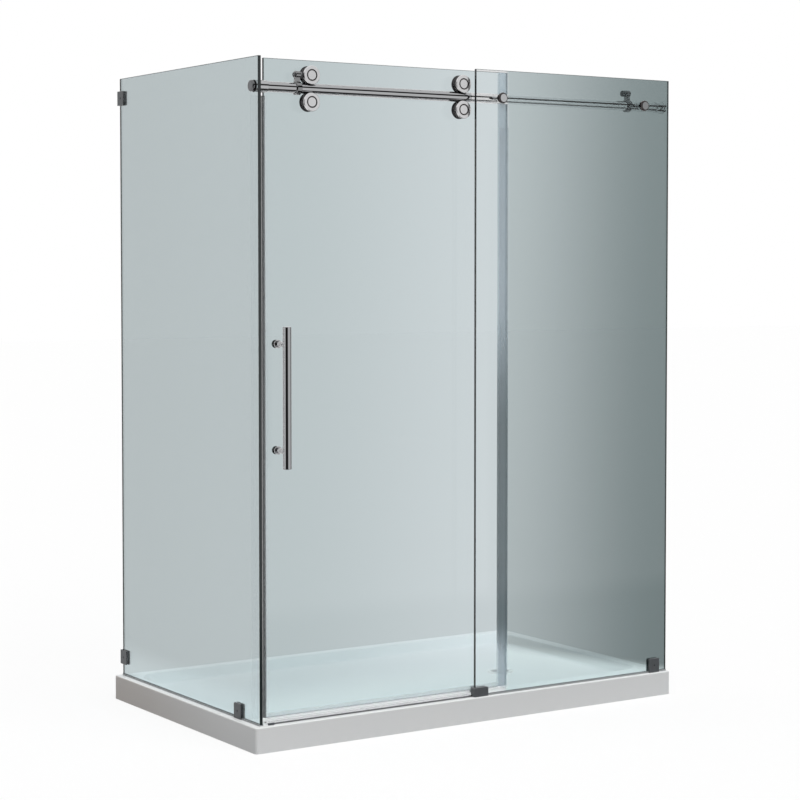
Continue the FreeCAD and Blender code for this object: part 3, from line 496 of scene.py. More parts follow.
@dataclass(frozen=True)
class Acrylic(Finish):
    """Glossy moulded acrylic; the standing floor has a finer, duller grain."""

    floor_below: float = 46 * MM   # height under which the basin floor lies
    floor_fade: float = 3 * MM
    floor_dull: float = 0.12       # how much rougher the floor is
    roughness: float = 0.3
    painted_side_shade: Colour = (0.66, 0.62, 0.59)   # painted shade: what the left side darkens to at the wall
    painted_side_shade_turn: tuple[float, float] = (-0.6, -0.9)  # normal's X: plain, and fully the side
    peel_scale: float = 160.0      # orange peel of the gloss
    peel_gloss: float = 0.06
    peel_share: float = 0.35       # its relief, as a share of the floor's
    stipple_scale: float = 1400.0
    relief: float = 0.06 * MM
    cloud_scale: float = 3.5
    cooler: Point = (0.965, 0.98, 1.0)         # what the clouds take from each colour
    index: float = 1.49
    specular: float = 0.3
    coat: float = 0.08
    coat_roughness: float = 0.06

    def surface(self, recipe: Recipe) -> Signal:
        """White gloss with a faint orange peel, dull where feet stand, painted shade on the left
        side.

        Args:
            recipe: the material's tree.

        Returns:
            The shader.
        """
        _, y, z = recipe.split(recipe.place())
        floor = z.ramp(self.floor_below + self.floor_fade, self.floor_below)
        peel = recipe.noise(recipe.place(), self.peel_scale, 2)
        stipple = recipe.noise(recipe.place(), self.stipple_scale, 2)
        cloud = recipe.noise(recipe.place(), self.cloud_scale, 3)
        cooler = tuple(c * share for c, share in zip(self.colour, self.cooler))
        white = recipe.blend(cloud, self.colour, cooler)
        leftward, _, _ = recipe.normal()
        # painted shade: the left side darkens towards the wall
        side = leftward.ramp(*self.painted_side_shade_turn) * y.ramp(CAD_BOX[0].y, CAD_BOX[1].y)
        relief = peel * self.peel_share * (1 - floor) + stipple * floor
        return recipe.shader({
            "Base Color": recipe.blend(side, white, self.painted_side_shade),
            "Roughness": peel * self.peel_gloss + self.roughness + floor * self.floor_dull,
            "IOR": self.index,
            "Specular IOR Level": self.specular,
            "Coat Weight": self.coat,
            "Coat Roughness": self.coat_roughness,
            "Normal": recipe.bump(relief, self.relief)})


class Thin(Enum):
    """The axis across a glass pane."""

    X = 0
    Y = 1


@dataclass(frozen=True)
class PaneGlass(Finish):
    """Tinted toughened glass with a dark ground edge.

    The tint runs from colour at the pane's start to far_painted_tone at its end, a painted
    light and shade of the surroundings seen through, and is painted lighter towards the foot,
    a painted light for the bright tray that shows through; painted_foot_shade darkens it towards
    the bottom. It is left off along the stretch where another pane stands behind.
    """

    # painted light and shade: far_painted_tone is the tint at the far end, painted_foot_light at
    # the foot
    far_painted_tone: Colour = (0.6, 0.6, 0.6)
    painted_foot_light: Colour = (0.8, 0.8, 0.8)
    thin: Thin = Thin.Y
    run: tuple[float, float] = (0.0, 1.0)      # where the tint starts and ends
    foot: tuple[float, float] = (0.12, 0.34)   # heights: painted light below, full tint above
    foot_fall: float = 0.0         # how much lower the foot's heights are at the far end
    painted_foot_shade: float = 0.0              # painted shade: share of the tint's light lost by the foot
    overlap_end: Optional[float] = None        # end of the stretch without tint
    overlap_fade: float = 14 * MM
    edge_colour: Colour = (0.012, 0.018, 0.019)
    edge_lighter: float = 1.5      # what the film makes of it at most
    edge_turn: tuple[float, float] = (0.9, 0.6)    # normal across: plain, and fully edge
    edge_roughness: float = 0.22
    edge_index: float = 1.5
    index: float = 1.25
    film_scale: float = 9.0
    film_roughness: float = 0.012
    lamplight: tuple[float, float, float, float] = (0.93, 0.96, 0.96, 1)   # let through

    def surface(self, recipe: Recipe) -> Signal:
        """Clear body, dark edge, and lamps let through.

        Args:
            recipe: the material's tree.

        Returns:
            The shader.
        """
        x, y, z = recipe.split(recipe.place())
        along = (y, x)[self.thin.value]
        # painted light and shade: the tint turns lighter or darker along the pane
        tint = recipe.blend(along.ramp(*self.run), self.colour, self.far_painted_tone)
        # painted shade: darker towards the bottom
        if self.painted_foot_shade:
            tint = recipe.blend((TALL - z) * (self.painted_foot_shade / TALL), tint, BLACK)
        start, end = self.run
        level = z + (along - start) * (self.foot_fall / (end - start))
        clear, full = self.foot
        # painted light: lighter at the foot, where the bright tray shows through
        tint = recipe.blend(level.ramp(full, clear), tint, self.painted_foot_light)
        if self.overlap_end is not None:
            behind = along.ramp(self.overlap_end, self.overlap_end - self.overlap_fade)
            tint = recipe.blend(behind, tint, WHITE)
        tint = recipe.blend(recipe.mirrored(), tint, WHITE)
        across = abs(recipe.normal()[self.thin.value])
        edge = across.ramp(*self.edge_turn)
        film = recipe.noise(recipe.place(), self.film_scale, 2)
        body = recipe.shader({
            "Base Color": tint, "Roughness": film * self.film_roughness, "IOR": self.index,
            "Transmission Weight": 1.0})
        lighter = tuple(c * self.edge_lighter for c in self.edge_colour)
        ground = recipe.shader({
            "Base Color": recipe.blend(film, self.edge_colour, lighter),
            "Roughness": self.edge_roughness, "IOR": self.edge_index})
        solid = recipe.mix_shaders(edge, body, ground)
        open_to_lamps = recipe.signal("ShaderNodeBsdfTransparent", None,
                                      {"Color": self.lamplight}, 0)
        return recipe.mix_shaders(recipe.path("Is Shadow Ray"), solid, open_to_lamps)


@dataclass(frozen=True)
class ClearVinyl(Finish):
    """Soft see-through vinyl, drawn along its length.

    painted_low_shade and painted_low_shade_body, a painted shade, hold over the lower part of
    a profile that stands upright, and fade out between fade's first two heights and its last two.
    solid_colour and solid_body hold over a stretch of X.
    """

    roughness: float = 0.3
    body: float = 0.4              # share of the light that one skin keeps
    drawn: Grain = Grain.ALONG_Z
    painted_low_shade: Optional[Colour] = None
    painted_low_shade_body: float = 0.4
    fade: tuple[float, float, float, float] = (1.32, 0.86, 0.30, 0.16)
    solid: Optional[tuple[float, float]] = None
    solid_colour: Colour = (0.5, 0.5, 0.5)
    solid_body: float = 0.6
    solid_fades: tuple[float, float] = (1 * MM, 3 * MM)    # at its start and end
    line_scales: tuple[float, float] = (160.0, 3.0)    # across and along the profile
    line_colour: Colour = (0.5, 0.5, 0.5)
    line_tone: float = 0.14
    line_gloss: float = 0.1
    line_body: float = 0.1
    relief: float = 0.02 * MM
    index: float = 1.4

    def surface(self, recipe: Recipe) -> Signal:
        """Pale skin with faint lines along the profile.

        Args:
            recipe: the material's tree.

        Returns:
            The shader.
        """
        fine, slow = self.line_scales
        stretch = (fine, fine, slow) if self.drawn is Grain.ALONG_Z else (slow, fine, fine)
        lines = recipe.noise(recipe.place((0, 0, 0), stretch), 1, 2)
        tint: Union[Signal, Colour] = self.colour
        body: Value = self.body
        if self.painted_low_shade is not None:
            _, _, z = recipe.split(recipe.place())
            start, full, end, foot = self.fade
            # painted shade: darker and denser over the lower part
            low = z.ramp(start, full) * z.ramp(foot, end)
            tint = recipe.blend(low, self.colour, self.painted_low_shade)
            body = low * (self.painted_low_shade_body - self.body) + self.body
        if self.solid is not None:
            x, _, _ = recipe.split(recipe.place())
            start, end = self.solid
            fade_in, fade_out = self.solid_fades
            full = (x.ramp(start - fade_in, start + fade_in)
                    * x.ramp(end + fade_out, end - fade_out))
            tint = recipe.blend(full, tint, self.solid_colour)
            body = full * (self.solid_body - self.body) + body
        return recipe.shader({
            "Base Color": recipe.blend(lines * self.line_tone, tint, self.line_colour),
            "Roughness": lines * self.line_gloss + self.roughness,
            "Alpha": lines * self.line_body + body - self.line_body / 2,
            "IOR": self.index,
            "Normal": recipe.bump(lines, self.relief)})


# Colours of bare metal that several finishes share.
CHROME: Colour = (0.52, 0.525, 0.535)
RAIL_CHROME: Colour = (0.47, 0.475, 0.485)
# painted light: chrome made lighter for pieces seen through the tinted fixed pane
PAINTED_LIGHT_CHROME: Colour = (0.74, 0.745, 0.75)
HANDLE_CHROME: Colour = (0.42, 0.425, 0.435)
DULL_CHROME: Colour = (0.27, 0.275, 0.28)
SMOKED: Colour = (0.16, 0.165, 0.17)
STEEL: Colour = (0.80, 0.80, 0.81)


# --------------------------------------------------------------------- pieces


@dataclass(frozen=True)
class Ring:
    """One cross-section of a turned form."""

    radius: float
    along: float
    sides: int = 0                 # 0 is round; else a polygon, corners at radius

    def reach(self, angle: float) -> float:
        """Distance from the axis to the outline in one direction.

        Args:
            angle: the direction round the axis, in radians.

        Returns:
            The distance in metres.
        """
        if not self.sides:
            return self.radius
        part = math.tau / self.sides
        return self.radius * math.cos(part / 2) / math.cos(angle % part - part / 2)


def turned_mesh(name: str, rings: Sequence[Ring], steps: int = 24) -> bpy.types.Mesh:
    """Closed mesh through rings along +Z, first and last ring capped.

    Args:
        name: the mesh's name.
        rings: cross-sections in order, from the bottom cap to the top cap.
        steps: corners in each ring.

    Returns:
        The mesh, its faces pointing out.
    """
    shape = bmesh.new()
    loops = []
    for ring in rings:
        angles = [math.tau * k / steps for k in range(steps)]
        loops.append([shape.verts.new((ring.reach(a) * math.cos(a), ring.reach(a) * math.sin(a),
                                       ring.along)) for a in angles])
    for low, high in zip(loops, loops[1:]):
        for k in range(steps):
            n = (k + 1) % steps
            shape.faces.new((low[k], low[n], high[n], high[k]))
    shape.faces.new(loops[0][::-1])
    shape.faces.new(loops[-1])
    bmesh.ops.recalc_face_normals(shape, faces=shape.faces)
    mesh = bpy.data.meshes.new(name)
    shape.to_mesh(mesh)
    shape.free()
    return mesh


def new_object(name: str, mesh: bpy.types.Mesh) -> bpy.types.Object:
    """Object at the origin in the scene's collection.

    Args:
        name: the object's name.
        mesh: what it shows.

    Returns:
        The object.
    """
    thing = bpy.data.objects.new(name, mesh)
    bpy.context.scene.collection.objects.link(thing)
    return thing


class FormPlan(Plan):
    """Geometry Nodes tree that is used once and turned into a plain mesh."""

    def __init__(self, name: str) -> None:
        """Start the tree with its geometry input and output.

        Args:
            name: the tree's name.
        """
        tree = bpy.data.node_groups.new(name, "GeometryNodeTree")
        super().__init__(tree)
        self._ids: dict[str, str] = {}
        self.values: dict[str, Any] = {}
        for way in ("INPUT", "OUTPUT"):
            tree.interface.new_socket(name="Geometry", in_out=way,
                                      socket_type="NodeSocketGeometry")
        self.entry = tree.nodes.new("NodeGroupInput")

    def size(self, name: str, kind: str, value: Any) -> Signal:
        """Add a named input.

        Args:
            name: what the input is called.
            kind: "Float", "Int", "Vector" or "Object".
            value: what the modifier gives it.

        Returns:
            The input as a signal.
        """
        made = self.tree.interface.new_socket(name=name, in_out="INPUT",
                                              socket_type="NodeSocket" + kind)
        self._ids[name] = made.identifier
        self.values[name] = value
        return Signal(self, self.entry.outputs[name])

    def bake(self, name: str, shape: Signal, material: bpy.types.Material,
             host: Optional[bpy.types.Mesh] = None) -> bpy.types.Object:
        """Close the tree, run it on a host mesh and keep the result.

        Args:
            name: name of the finished piece.
            shape: the tree's last geometry.
            material: what Set Material puts on it.
            host: mesh that the tree starts from, if it reads one.

        Returns:
            A new object at the origin that holds the plain mesh.
        """
        real = self.signal("GeometryNodeRealizeInstances", None, {0: shape}, 0)
        dressed = self.signal("GeometryNodeSetMaterial", None, {0: real}, 0)
        dressed.socket.node.inputs["Material"].default_value = material
        self.node("NodeGroupOutput", None, {0: dressed})
        carrier = new_object(name + ".host", host or bpy.data.meshes.new(name + ".host"))
        modifier = carrier.modifiers.new("form", "NODES")
        modifier.node_group = self.tree
        for key, value in self.values.items():
            modifier[self._ids[key]] = value
        graph = bpy.context.evaluated_depsgraph_get()
        mesh = bpy.data.meshes.new_from_object(carrier.evaluated_get(graph),
                                               preserve_all_data_layers=True, depsgraph=graph)
        carrier.modifiers.remove(modifier)
        bpy.data.objects.remove(carrier)
        mesh.name = name
        if not mesh.materials:
            mesh.materials.append(material)
        return new_object(name, mesh)


def stand_at_points(name: str, prototype: bpy.types.Mesh,
                    spots: Sequence[tuple[Point, Point]],
                    material: bpy.types.Material) -> bpy.types.Object:
    """Repeat a small form at points, each turned to face its own way.

    Args:
        name: name of the finished piece.
        prototype: the form, along +Z.
        spots: (place, direction) pairs in metres.
        material: its finish.

    Returns:
        One object with all the copies.
    """
    points = bpy.data.meshes.new(name + ".points")
    points.from_pydata([place for place, _ in spots], [], [])
    ways = points.attributes.new("way", "FLOAT_VECTOR", "POINT")
    for k, (_, way) in enumerate(spots):
        ways.data[k].vector = way
    model = new_object(name + ".model", prototype)
    plan = FormPlan(name)
    entry = Signal(plan, plan.entry.outputs["Geometry"])
    scale = plan.size("Scale", "Float", 1.0)
    subject = plan.size("Form", "Object", model)
    form = plan.signal("GeometryNodeObjectInfo", None, {"Object": subject}, "Geometry")
    way = plan.signal("GeometryNodeInputNamedAttribute", {"data_type": "FLOAT_VECTOR"},
                      {"Name": "way"}, 0)
    turn = plan.signal("FunctionNodeAlignRotationToVector", {"axis": "Z"},
                       {"Vector": way}, 0)
    copies = plan.signal("GeometryNodeInstanceOnPoints", None, {
        "Points": entry, "Instance": form, "Rotation": turn, "Scale": scale}, 0)
    made = plan.bake(name, copies, material, points)
    bpy.data.objects.remove(model)
    return made


def grip_ridges(name: str, centre: Point, radius: float, length: float,
                ridges: int, depth: float,
                material: bpy.types.Material) -> bpy.types.Object:
    """Straight knurl round a knob whose axis is X.

    Args:
        name: name of the finished piece.
        centre: middle of the knurled band.
        radius: the knob's radius, where the ridges stand.
        length: the band's length along X.
        ridges: how many ridges go round.
        depth: how far a ridge stands out.
        material: its finish.

    Returns:
        One object with all the ridges.
    """
    plan = FormPlan(name)
    reach = plan.size("Radius", "Float", radius)
    count = plan.size("Ridges", "Int", ridges)
    band = plan.size("Length", "Float", length)
    height = plan.size("Depth", "Float", depth)
    middle = plan.size("Centre", "Vector", centre)
    round_points = plan.signal("GeometryNodeMeshCircle", None,
                               {"Vertices": count, "Radius": reach}, 0)
    outward = plan.signal("GeometryNodeInputPosition")
    turn = plan.signal("FunctionNodeAlignRotationToVector", {"axis": "X"},
                       {"Vector": outward}, 0)
    ridge = plan.signal("GeometryNodeMeshCylinder", None,
                        {"Vertices": HEXAGON, "Radius": height, "Depth": band}, 0)
    copies = plan.signal("GeometryNodeInstanceOnPoints", None, {
        "Points": round_points, "Instance": ridge, "Rotation": turn}, 0)
    lying = plan.signal("GeometryNodeTransform", None,
                        {"Geometry": copies, "Rotation": (0.0, math.pi / 2, 0.0)}, 0)
    placed = plan.signal("GeometryNodeTransform", None,
                         {"Geometry": lying, "Translation": middle}, 0)
    return plan.bake(name, placed, material)


@dataclass
class Assembly:
    """Base of the sub-assemblies."""

    body: str = "enclosure"

    def nodes(self, *names: str) -> list[bpy.types.Object]:
        """CAD nodes by name."""
        return [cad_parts[name] for name in names]

    def middle(self, name: str) -> Vector:
        """Centre of a CAD node's box."""
        low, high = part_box(name)
        return (low + high) / 2

    def ride(self, piece: bpy.types.Object, slot: str) -> None:
        """Fix a new piece to the assembly's body.

        Args:
            piece: the new piece, in its place at rest.
            slot: the record's slot that it belongs to; not used.
        """
        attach(piece, self.body)
        LOG.info("%s rides on %s", piece.name, self.body)

    def build(self) -> None:
        """Make the assembly's pieces and dress them."""
        raise NotImplementedError


@dataclass
class Tray(Assembly):
    """White tray with its waste."""

    screw_radius: float = 3.2 * MM
    socket_radius: float = 1.6 * MM

    def build(self) -> None:
        """Dress the tray and waste, and add the cover's screw."""
        Acrylic("white_acrylic", (0.90, 0.905, 0.90)).dress(*self.nodes("shower_tray"))
        Moulded("waste_plastic", (0.82, 0.82, 0.81),
                roughness=0.4).dress(*self.nodes("drain_body"))
        centre = tuple(self.middle("drain_grate"))
        cover = Metal("cover_steel", STEEL, 0.12, Grain.TURNED_Z, centre)
        cover.dress(*self.nodes("drain_grate"))
        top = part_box("drain_grate")[1].z
        r, hole = self.screw_radius, self.socket_radius
        head = turned_mesh("cover_screw", [
            Ring(r, -0.4 * MM), Ring(r, 0.2 * MM), Ring(r * 0.9, 0.42 * MM),
            Ring(hole * 1.25, 0.48 * MM), Ring(hole, 0.4 * MM, HEXAGON),
            Ring(hole, -0.3 * MM, HEXAGON)])
        screw = stand_at_points("cover_screw", head, [((centre[0], centre[1], top), (0, 0, 1))],
                                cover.material())
        self.ride(screw, "steel_cover")


@dataclass
class Panes(Assembly):
    """The three glass panels."""

    def build(self) -> None:
        """Give each pane its own tint."""
        low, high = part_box("return_panel")
        # Each tint's turn along the pane and its lighter foot are painted light and shade.
        PaneGlass("return_glass", (0.615, 0.695, 0.712), far_painted_tone=(0.575, 0.650, 0.665),
                  painted_foot_light=(0.70, 0.80, 0.82), thin=Thin.X, run=(low.y, high.y),
                  foot=(0.10, 0.20)).dress(*self.nodes("return_panel"))
        low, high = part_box("door_panel")
        PaneGlass("door_glass", (0.675, 0.765, 0.782), far_painted_tone=(0.82, 0.905, 0.93),
                  painted_foot_light=(0.84, 0.95, 0.96), run=(low.x, high.x),
                  foot=(0.08, 0.20)).dress(*self.nodes("door_panel"))
        low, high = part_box("fixed_panel")
        PaneGlass("fixed_glass", (0.66, 0.745, 0.76), far_painted_tone=(0.287, 0.352, 0.358),
                  painted_foot_light=(0.78, 0.89, 0.90), run=(low.x, high.x), foot=(0.22, 0.26),
                  foot_fall=0.16, painted_foot_shade=0.15,
                  overlap_end=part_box("door_seal_trailing")[0].x).dress(*self.nodes("fixed_panel"))


@dataclass
class RailSet(Assembly):
    """Round rail with the fittings that hold it."""

    cap_ring: tuple[float, float] = (12.0 * MM, 18.0 * MM)

    def build(self) -> None:
        """Polish the rail and its fittings, each about its own axis."""
        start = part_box("fixed_panel")[0].x
        # painted light: the rail is lighter past the fixed pane's start
        Metal("rail_chrome", RAIL_CHROME, 0.05, Grain.ALONG_X, painted_light=PAINTED_LIGHT_CHROME,
              painted_light_from=start).dress(*self.nodes("rail"))
        turned = {"rail_socket_return": (Grain.TURNED_X, CHROME),
                  "rail_cap_return": (Grain.TURNED_X, SMOKED),
                  "rail_socket_wall": (Grain.TURNED_X, PAINTED_LIGHT_CHROME),
                  "standoff_a": (Grain.TURNED_Y, PAINTED_LIGHT_CHROME),
                  "standoff_b": (Grain.TURNED_Y, PAINTED_LIGHT_CHROME)}
        for name, (grain, colour) in turned.items():
            Metal(name + "_chrome", colour, 0.1, grain,
                  tuple(self.middle(name))).dress(*self.nodes(name))
        # painted shade: standoff_cap_b takes darker chrome than its twin standoff_cap_a
        for name, colour in (("standoff_cap_a", CHROME), ("standoff_cap_b", DULL_CHROME)):
            RingedMetal(name + "_chrome", colour, 0.12, Grain.TURNED_Y, tuple(self.middle(name)),
                        ring=self.cap_ring).dress(*self.nodes(name))


@dataclass
class Stops(Assembly):
    """Collars on the rail with their buffers and knobs."""

    ridges: int = 24
    ridge_depth: float = 0.35 * MM
    knob_radius: float = 6.5 * MM
    knob_length: float = 2.6 * MM
    knob_thick: float = 4.0 * MM

    def build(self) -> None:
        """Dress collars and buffers, and knurl the knobs."""
        rubber = Moulded("buffer_rubber", (0.16, 0.165, 0.17), roughness=0.5)
        plate = Metal("collar_chrome", DULL_CHROME, 0.1, Grain.EVEN)
        for side, sign in (("left", 1), ("right", -1)):
            plate.dress(*self.nodes("stop_collar_" + side))
            rubber.dress(*self.nodes("stop_buffer_" + side))
            low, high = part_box("stop_buffer_" + side)
            x = low.x + self.knob_thick / 2 if sign > 0 else high.x - self.knob_thick / 2
            knurl = grip_ridges(
                "knob_knurl_" + side, (x, (low.y + high.y) / 2, (low.z + high.z) / 2),
                self.knob_radius, self.knob_length, self.ridges, self.ridge_depth,
                rubber.material())
            self.ride(knurl, "buffer_grey")


@dataclass
class Clamps(Assembly):
    """Glass clamps, their liners and grub screws, the guide and the strip."""

    grub_radius: float = 3.7 * MM
    grub_sink: float = 1.0 * MM
    socket_radius: float = 1.9 * MM
    plating: Colour = (0.085, 0.09, 0.095)     # on the return panel's clamps
    coating: Colour = (0.105, 0.112, 0.12)     # on the front clamp and the guide

    def _grub_spots(self) -> list[tuple[Point, Point]]:
        """Where each clamp's screw sits, and which way it looks.

        Returns:
            (place, direction) pairs in metres.
        """
        spots = []
        for name in ("wall_clamp_upper", "wall_clamp_lower", "floor_clamp_return"):
            low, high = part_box(name)
            spots.append(((low.x + self.grub_sink, (low.y + high.y) / 2, (low.z + high.z) / 2),
                          (-1, 0, 0)))
        low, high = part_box("floor_clamp_fixed")
        spots.append((((low.x + high.x) / 2, low.y + self.grub_sink, (low.z + high.z) / 2),
                      (0, -1, 0)))
        return spots

    def build(self) -> None:
        """Dress the metal and liners and set the screws."""
        Metal("dark_plating", self.plating, 0.2, Grain.EVEN, marks=0.1).dress(
            *self.nodes("wall_clamp_upper", "wall_clamp_lower", "floor_clamp_return"))
        Moulded("dark_coating", self.coating, roughness=0.32).dress(
            *self.nodes("floor_clamp_fixed", "guide_block"))
        Moulded("liner_rubber", (0.42, 0.43, 0.44), roughness=0.6).dress(*self.nodes(
            "wall_clamp_upper_liner", "wall_clamp_lower_liner", "floor_clamp_return_liner",
            "floor_clamp_fixed_liner", "guide_liner"))
        # painted shade on the strip's front face
        FrontShadedMetal("strip_aluminium", (0.9, 0.91, 0.92), 0.2, Grain.ALONG_X,
                   marks=0.02, relief=0.0005 * MM).dress(*self.nodes("threshold_strip"))
        Moulded("plug_rubber", (0.07, 0.075, 0.085),
                roughness=0.5).dress(*self.nodes("threshold_end"))
        r, hole = self.grub_radius, self.socket_radius
        screw = turned_mesh("grub_screw", [
            Ring(r, -2.6 * MM), Ring(r, -0.3 * MM), Ring(r * 0.92, 0.0), Ring(hole * 1.15, 0.0),
            Ring(hole, -0.1 * MM, HEXAGON), Ring(hole, -1.8 * MM, HEXAGON)])
        black = Metal("screw_steel", (0.22, 0.22, 0.23), 0.25, Grain.EVEN)
        self.ride(stand_at_points("grub_screws", screw, self._grub_spots(), black.material()),
                  "dark_chrome")


@dataclass
class Seals(Assembly):
    """Vinyl seals on the door and under the fixed glass."""

    leading_web: tuple[float, float] = (20.0 * MM, 7.0 * MM)   # back from its end

    def build(self) -> None:
        """Dress the vinyl."""
        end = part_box("door_seal_leading")[1].x
        web = (end - self.leading_web[0], end - self.leading_web[1])
        ClearVinyl("leading_vinyl", (0.86, 0.88, 0.92), body=0.07, solid=web,
                   solid_colour=(0.14, 0.145, 0.15),
                   solid_body=0.45).dress(*self.nodes("door_seal_leading"))
        # painted shade on the trailing seal's lower part
        ClearVinyl("trailing_vinyl", (0.77, 0.87, 0.96), body=0.24,
                   painted_low_shade=(0.30, 0.37, 0.40),
                   painted_low_shade_body=0.5).dress(*self.nodes("door_seal_trailing"))
        ClearVinyl("sweep_vinyl", (0.90, 0.94, 0.97), body=0.2,
                   drawn=Grain.ALONG_X).dress(*self.nodes("door_seal_bottom"))
        ClearVinyl("base_vinyl", (0.42, 0.44, 0.45), body=0.75,
                   drawn=Grain.ALONG_X).dress(*self.nodes("base_seal_return", "base_seal_fixed"))


@dataclass
class Carriages(Assembly):
    """The four grooved wheels with their axles and caps."""

    body: str = "door"

    def build(self) -> None:
        """Dress each carriage about its own axle."""
        for tag in ("upper_left", "upper_right", "lower_left", "lower_right"):
            centre = tuple(self.middle("wheel_" + tag))
            Moulded("wheel_nylon", (0.018, 0.018, 0.02), roughness=0.38,
                    tone_change=0.2).dress(*self.nodes("wheel_" + tag))
            Metal("bearing_steel_" + tag, (0.55, 0.55, 0.56), 0.18, Grain.TURNED_Y,
                  centre).dress(*self.nodes("bearing_" + tag))
            # painted groove shade ring on each hub cap
            RingedMetal("cap_steel_" + tag, STEEL, 0.2, Grain.TURNED_Y, centre, marks=0.04,
                        relief=0.001 * MM).dress(*self.nodes("hub_cap_" + tag))
            Metal("axle_steel_" + tag, CHROME, 0.14, Grain.TURNED_Y,
                  centre).dress(*self.nodes("axle_" + tag))
        Moulded("bush_nylon", (0.42, 0.43, 0.44), roughness=0.5).dress(*self.nodes(
            "glass_bush_upper_left", "glass_bush_upper_right", "glass_bush_lower_left",
            "glass_bush_lower_right"))


@dataclass
class Handle(Assembly):
    """Upright bar handle with its washers and bolts."""

    body: str = "door"

    def build(self) -> None:
        """Polish the bar along its length."""
        centre = tuple(self.middle("handle_bar"))
        Metal("handle_chrome", HANDLE_CHROME, 0.05, Grain.ALONG_Z, centre,
              relief=0.001 * MM).dress(*self.nodes("handle_bar"))
        for bolt in ("handle_bolt_lower", "handle_bolt_upper"):
            Metal(bolt + "_chrome", SMOKED, 0.12, Grain.TURNED_Y,
                  tuple(self.middle(bolt))).dress(*self.nodes(bolt))
        Moulded("washer_nylon", (0.10, 0.10, 0.105), roughness=0.5).dress(*self.nodes(
            "handle_washer_lower", "handle_washer_upper"))


# --------------------------------------------------------------------- studio


@dataclass(frozen=True)
class Lamp:
    """A soft distant lamp."""

    name: str
    strength: float                # light on a surface square to it, over pi
    towards: Point                 # the way its light travels
    softness: float                # apparent width in degrees


@dataclass(frozen=True)
class Shade:
    """A soft dark patch of the surroundings that only metal and glass mirror."""

    heading: float                 # degrees to the right of -Y, seen from above
    spread: float                  # half of its width in degrees
    low: float                     # lower and upper edge, as the sine of the elevation
    high: float
    depth: float                   # 1 is black
    core: float = 0.7              # share of the spread that is fully dark
    soft: float = 0.18             # share of the height over which it fades

    def share(self, plan: Plan, x: Signal, y: Signal, z: Optional[Signal] = None) -> Signal:
        """How dark the surroundings are in a direction.

        Args:
            plan: the tree that gets the nodes.
            x, y: the direction's level parts.
            z: its upright part when x, y and z make a unit vector. Left out on
                the floor, where only the heading counts.

        Returns:
            The darkness, 0 to depth.
        """
        turn = math.radians(self.heading)
        level = (x * x + y * y).root().at_least(TINY)
        near = (x * math.sin(turn) - y * math.cos(turn)) / level
        dark = near.ramp(math.cos(math.radians(self.spread)),
                         math.cos(math.radians(self.spread * self.core)))
        if z is not None:
            soft = (self.high - self.low) * self.soft
            dark = dark * z.ramp(self.low, self.low + soft) * z.ramp(self.high, self.high - soft)
        return dark * self.depth


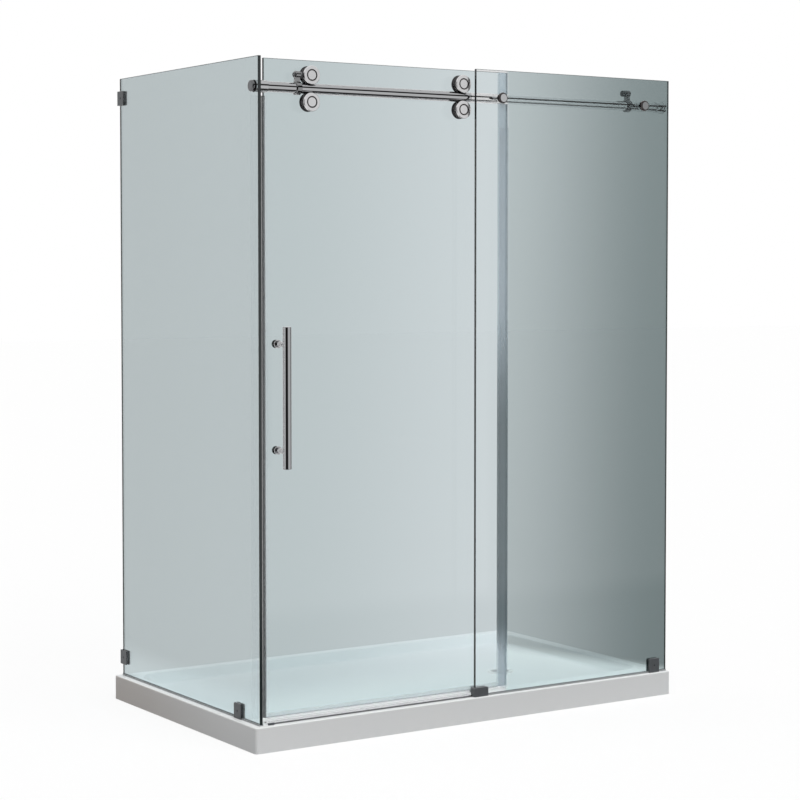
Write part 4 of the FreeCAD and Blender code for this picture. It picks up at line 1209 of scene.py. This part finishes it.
@dataclass
class Studio:
    """Pale floor, soft lamps, dim patches for the metal to mirror, and the camera."""

    eye: Point = (-3.6042, -5.5368, 1.3805)
    heading: float = 33.236        # degrees to the right of +Y
    pitch: float = 2.5             # degrees down
    focal_share: float = 2073.7 / 800          # focal length over frame width
    drop_share: float = 43.49 / 800            # how far the frame is moved down
    sensor: float = 36.0           # frame width in mm
    sight: float = 200.0           # how far it sees, in metres
    ambient: float = 0.28
    through: float = 0.72          # brightness of the surroundings seen through glass
    floor_size: float = 60.0
    floor_colour: float = 0.28
    floor_cloud: float = 1.2       # scale of the floor's faint clouds
    floor_lighter: float = 1.02    # what they make of its colour at most
    lamps: tuple[Lamp, ...] = (
        Lamp("overhead", 0.58, (0.13, 0.12, -1.0), 45),
        Lamp("front", 0.28, (-0.25, 1.0, -0.45), 50))
    shades: tuple[Shade, ...] = (
        Shade(-38, 37, -0.6, 0.5, 0.98),
        Shade(45, 42, 0.11, 0.62, 0.98),
        Shade(98, 42, -0.6, 0.5, 0.6))
    shade_starts: tuple[float, float] = (2.5, 5.0)   # distance on the floor
    # A dark mat in front that only metal mirrors. Along Y it fades in over
    # mat_near and out over mat_far; along X it lies between mat_sides.
    mat_near: tuple[float, float] = (-0.46, -0.62)
    mat_far: tuple[float, float] = (-2.6, -2.0)
    mat_sides: tuple[float, float] = (-0.9, 4.2)
    mat_fade: float = 0.5
    mat_depth: float = 0.95

    def _seen(self, plan: Plan, rest: float, dark: Signal) -> Signal:
        """What the surroundings add to their plain light for the rays that show them.

        Args:
            plan: the tree that gets the nodes.
            rest: the plain light, which every ray gets.
            dark: how dark a mirrored ray finds them.

        Returns:
            The light on top of rest.
        """
        mirrored = plan.mirrored()
        straight = plan.path("Is Transmission Ray") * (1 - mirrored)
        return (plan.path("Is Camera Ray") * (1 - rest) + straight * (self.through - rest)
                + plan.path("Is Glossy Ray") * mirrored * (1 - rest - dark))

    def _world(self) -> None:
        """White where it is seen, dimmer through glass, and soft light otherwise."""
        world = bpy.data.worlds.new("studio")
        bpy.context.scene.world = world
        world.use_nodes = True
        plan = Plan(world.node_tree)
        where = plan.signal("ShaderNodeTexCoord", None, None, "Generated")
        x, y, z = plan.split(where)
        strength = self._seen(plan, self.ambient, self._darkest(plan, x, y, z)) + self.ambient
        glow = plan.signal("ShaderNodeBackground", None,
                           {"Color": (*WHITE, 1.0), "Strength": strength}, 0)
        plan.node("ShaderNodeOutputWorld", None, {"Surface": glow})

    def _darkest(self, plan: Plan, x: Signal, y: Signal, z: Optional[Signal] = None) -> Signal:
        """The darkest of the shades in one direction.

        Args:
            plan: the tree that gets the nodes.
            x, y, z: the direction, as Shade.share takes it.

        Returns:
            The darkness, 0 to 1.
        """
        dark = self.shades[0].share(plan, x, y, z)
        for shade in self.shades[1:]:
            if z is not None or shade.low < 0:
                dark = dark.at_least(shade.share(plan, x, y, z))
        return dark

    def _floor(self) -> None:
        """Pale floor that keeps the object's shadow."""
        half = self.floor_size / 2
        mesh = bpy.data.meshes.new("floor")
        mesh.from_pydata([(-half, -half, 0), (half, -half, 0), (half, half, 0), (-half, half, 0)],
                         [], [(0, 1, 2, 3)])
        recipe = Recipe("floor_paint")
        x, y, _ = recipe.split(recipe.place())
        away = (x * x + y * y).root().ramp(*self.shade_starts)
        left, right = self.mat_sides
        mat = (y.ramp(*self.mat_near) * y.ramp(*self.mat_far)
               * x.ramp(left, left + self.mat_fade) * x.ramp(right, right - self.mat_fade))
        dark = (self._darkest(recipe, x, y) * away).at_least(mat * self.mat_depth)
        cloud = recipe.noise(recipe.place(), self.floor_cloud, 2)
        tone = recipe.blend(cloud, (self.floor_colour,) * 3,
                            (self.floor_colour * self.floor_lighter,) * 3)
        paint = recipe.signal("ShaderNodeBsdfDiffuse", None, {
            "Color": recipe.blend(dark * recipe.mirrored(), tone, BLACK)}, 0)
        lift = self._seen(recipe, self.floor_colour, dark * (1 - self.floor_colour))
        glow = recipe.signal("ShaderNodeEmission", None,
                             {"Color": (*WHITE, 1.0), "Strength": lift}, 0)
        mesh.materials.append(recipe.finish(
            recipe.signal("ShaderNodeAddShader", None, {0: paint, 1: glow}, 0)))
        new_object("floor", mesh)

    def _lamp(self, lamp: Lamp) -> None:
        """Hang one lamp.

        Args:
            lamp: its strength, direction and softness.
        """
        light = bpy.data.lights.new(lamp.name, "SUN")
        light.energy = lamp.strength * math.pi
        light.angle = math.radians(lamp.softness)
        thing = bpy.data.objects.new(lamp.name, light)
        bpy.context.scene.collection.objects.link(thing)
        thing.rotation_euler = Vector(lamp.towards).to_track_quat("-Z", "Y").to_euler()
        thing.visible_glossy = False
        thing.visible_transmission = False

    def _camera(self) -> None:
        """Camera at the photograph's place, its frame moved down a little by shift."""
        lens = bpy.data.cameras.new("camera")
        lens.sensor_fit = "HORIZONTAL"
        lens.sensor_width = self.sensor
        lens.lens = self.focal_share * self.sensor
        lens.shift_y = -self.drop_share
        lens.clip_end = self.sight
        thing = bpy.data.objects.new("camera", lens)
        bpy.context.scene.collection.objects.link(thing)
        thing.location = self.eye
        thing.rotation_euler = (math.radians(90 - self.pitch), 0, -math.radians(self.heading))
        bpy.context.scene.camera = thing

    def build(self) -> None:
        """Set up everything that isn't the object."""
        bpy.context.scene.view_settings.view_transform = "Standard"
        self._world()
        self._floor()
        for lamp in self.lamps:
            self._lamp(lamp)
        self._camera()


def main() -> None:
    """Build, dress and report every assembly, then the studio."""
    logging.basicConfig(level=logging.INFO, format="%(name)s: %(message)s")
    for assembly in (Tray(), Panes(), RailSet(), Stops(), Clamps(), Seals(),
                     Carriages(), Handle()):
        assembly.build()
        LOG.info("%s done", type(assembly).__name__)
    Studio().build()


if __name__ == "__main__":
    main()
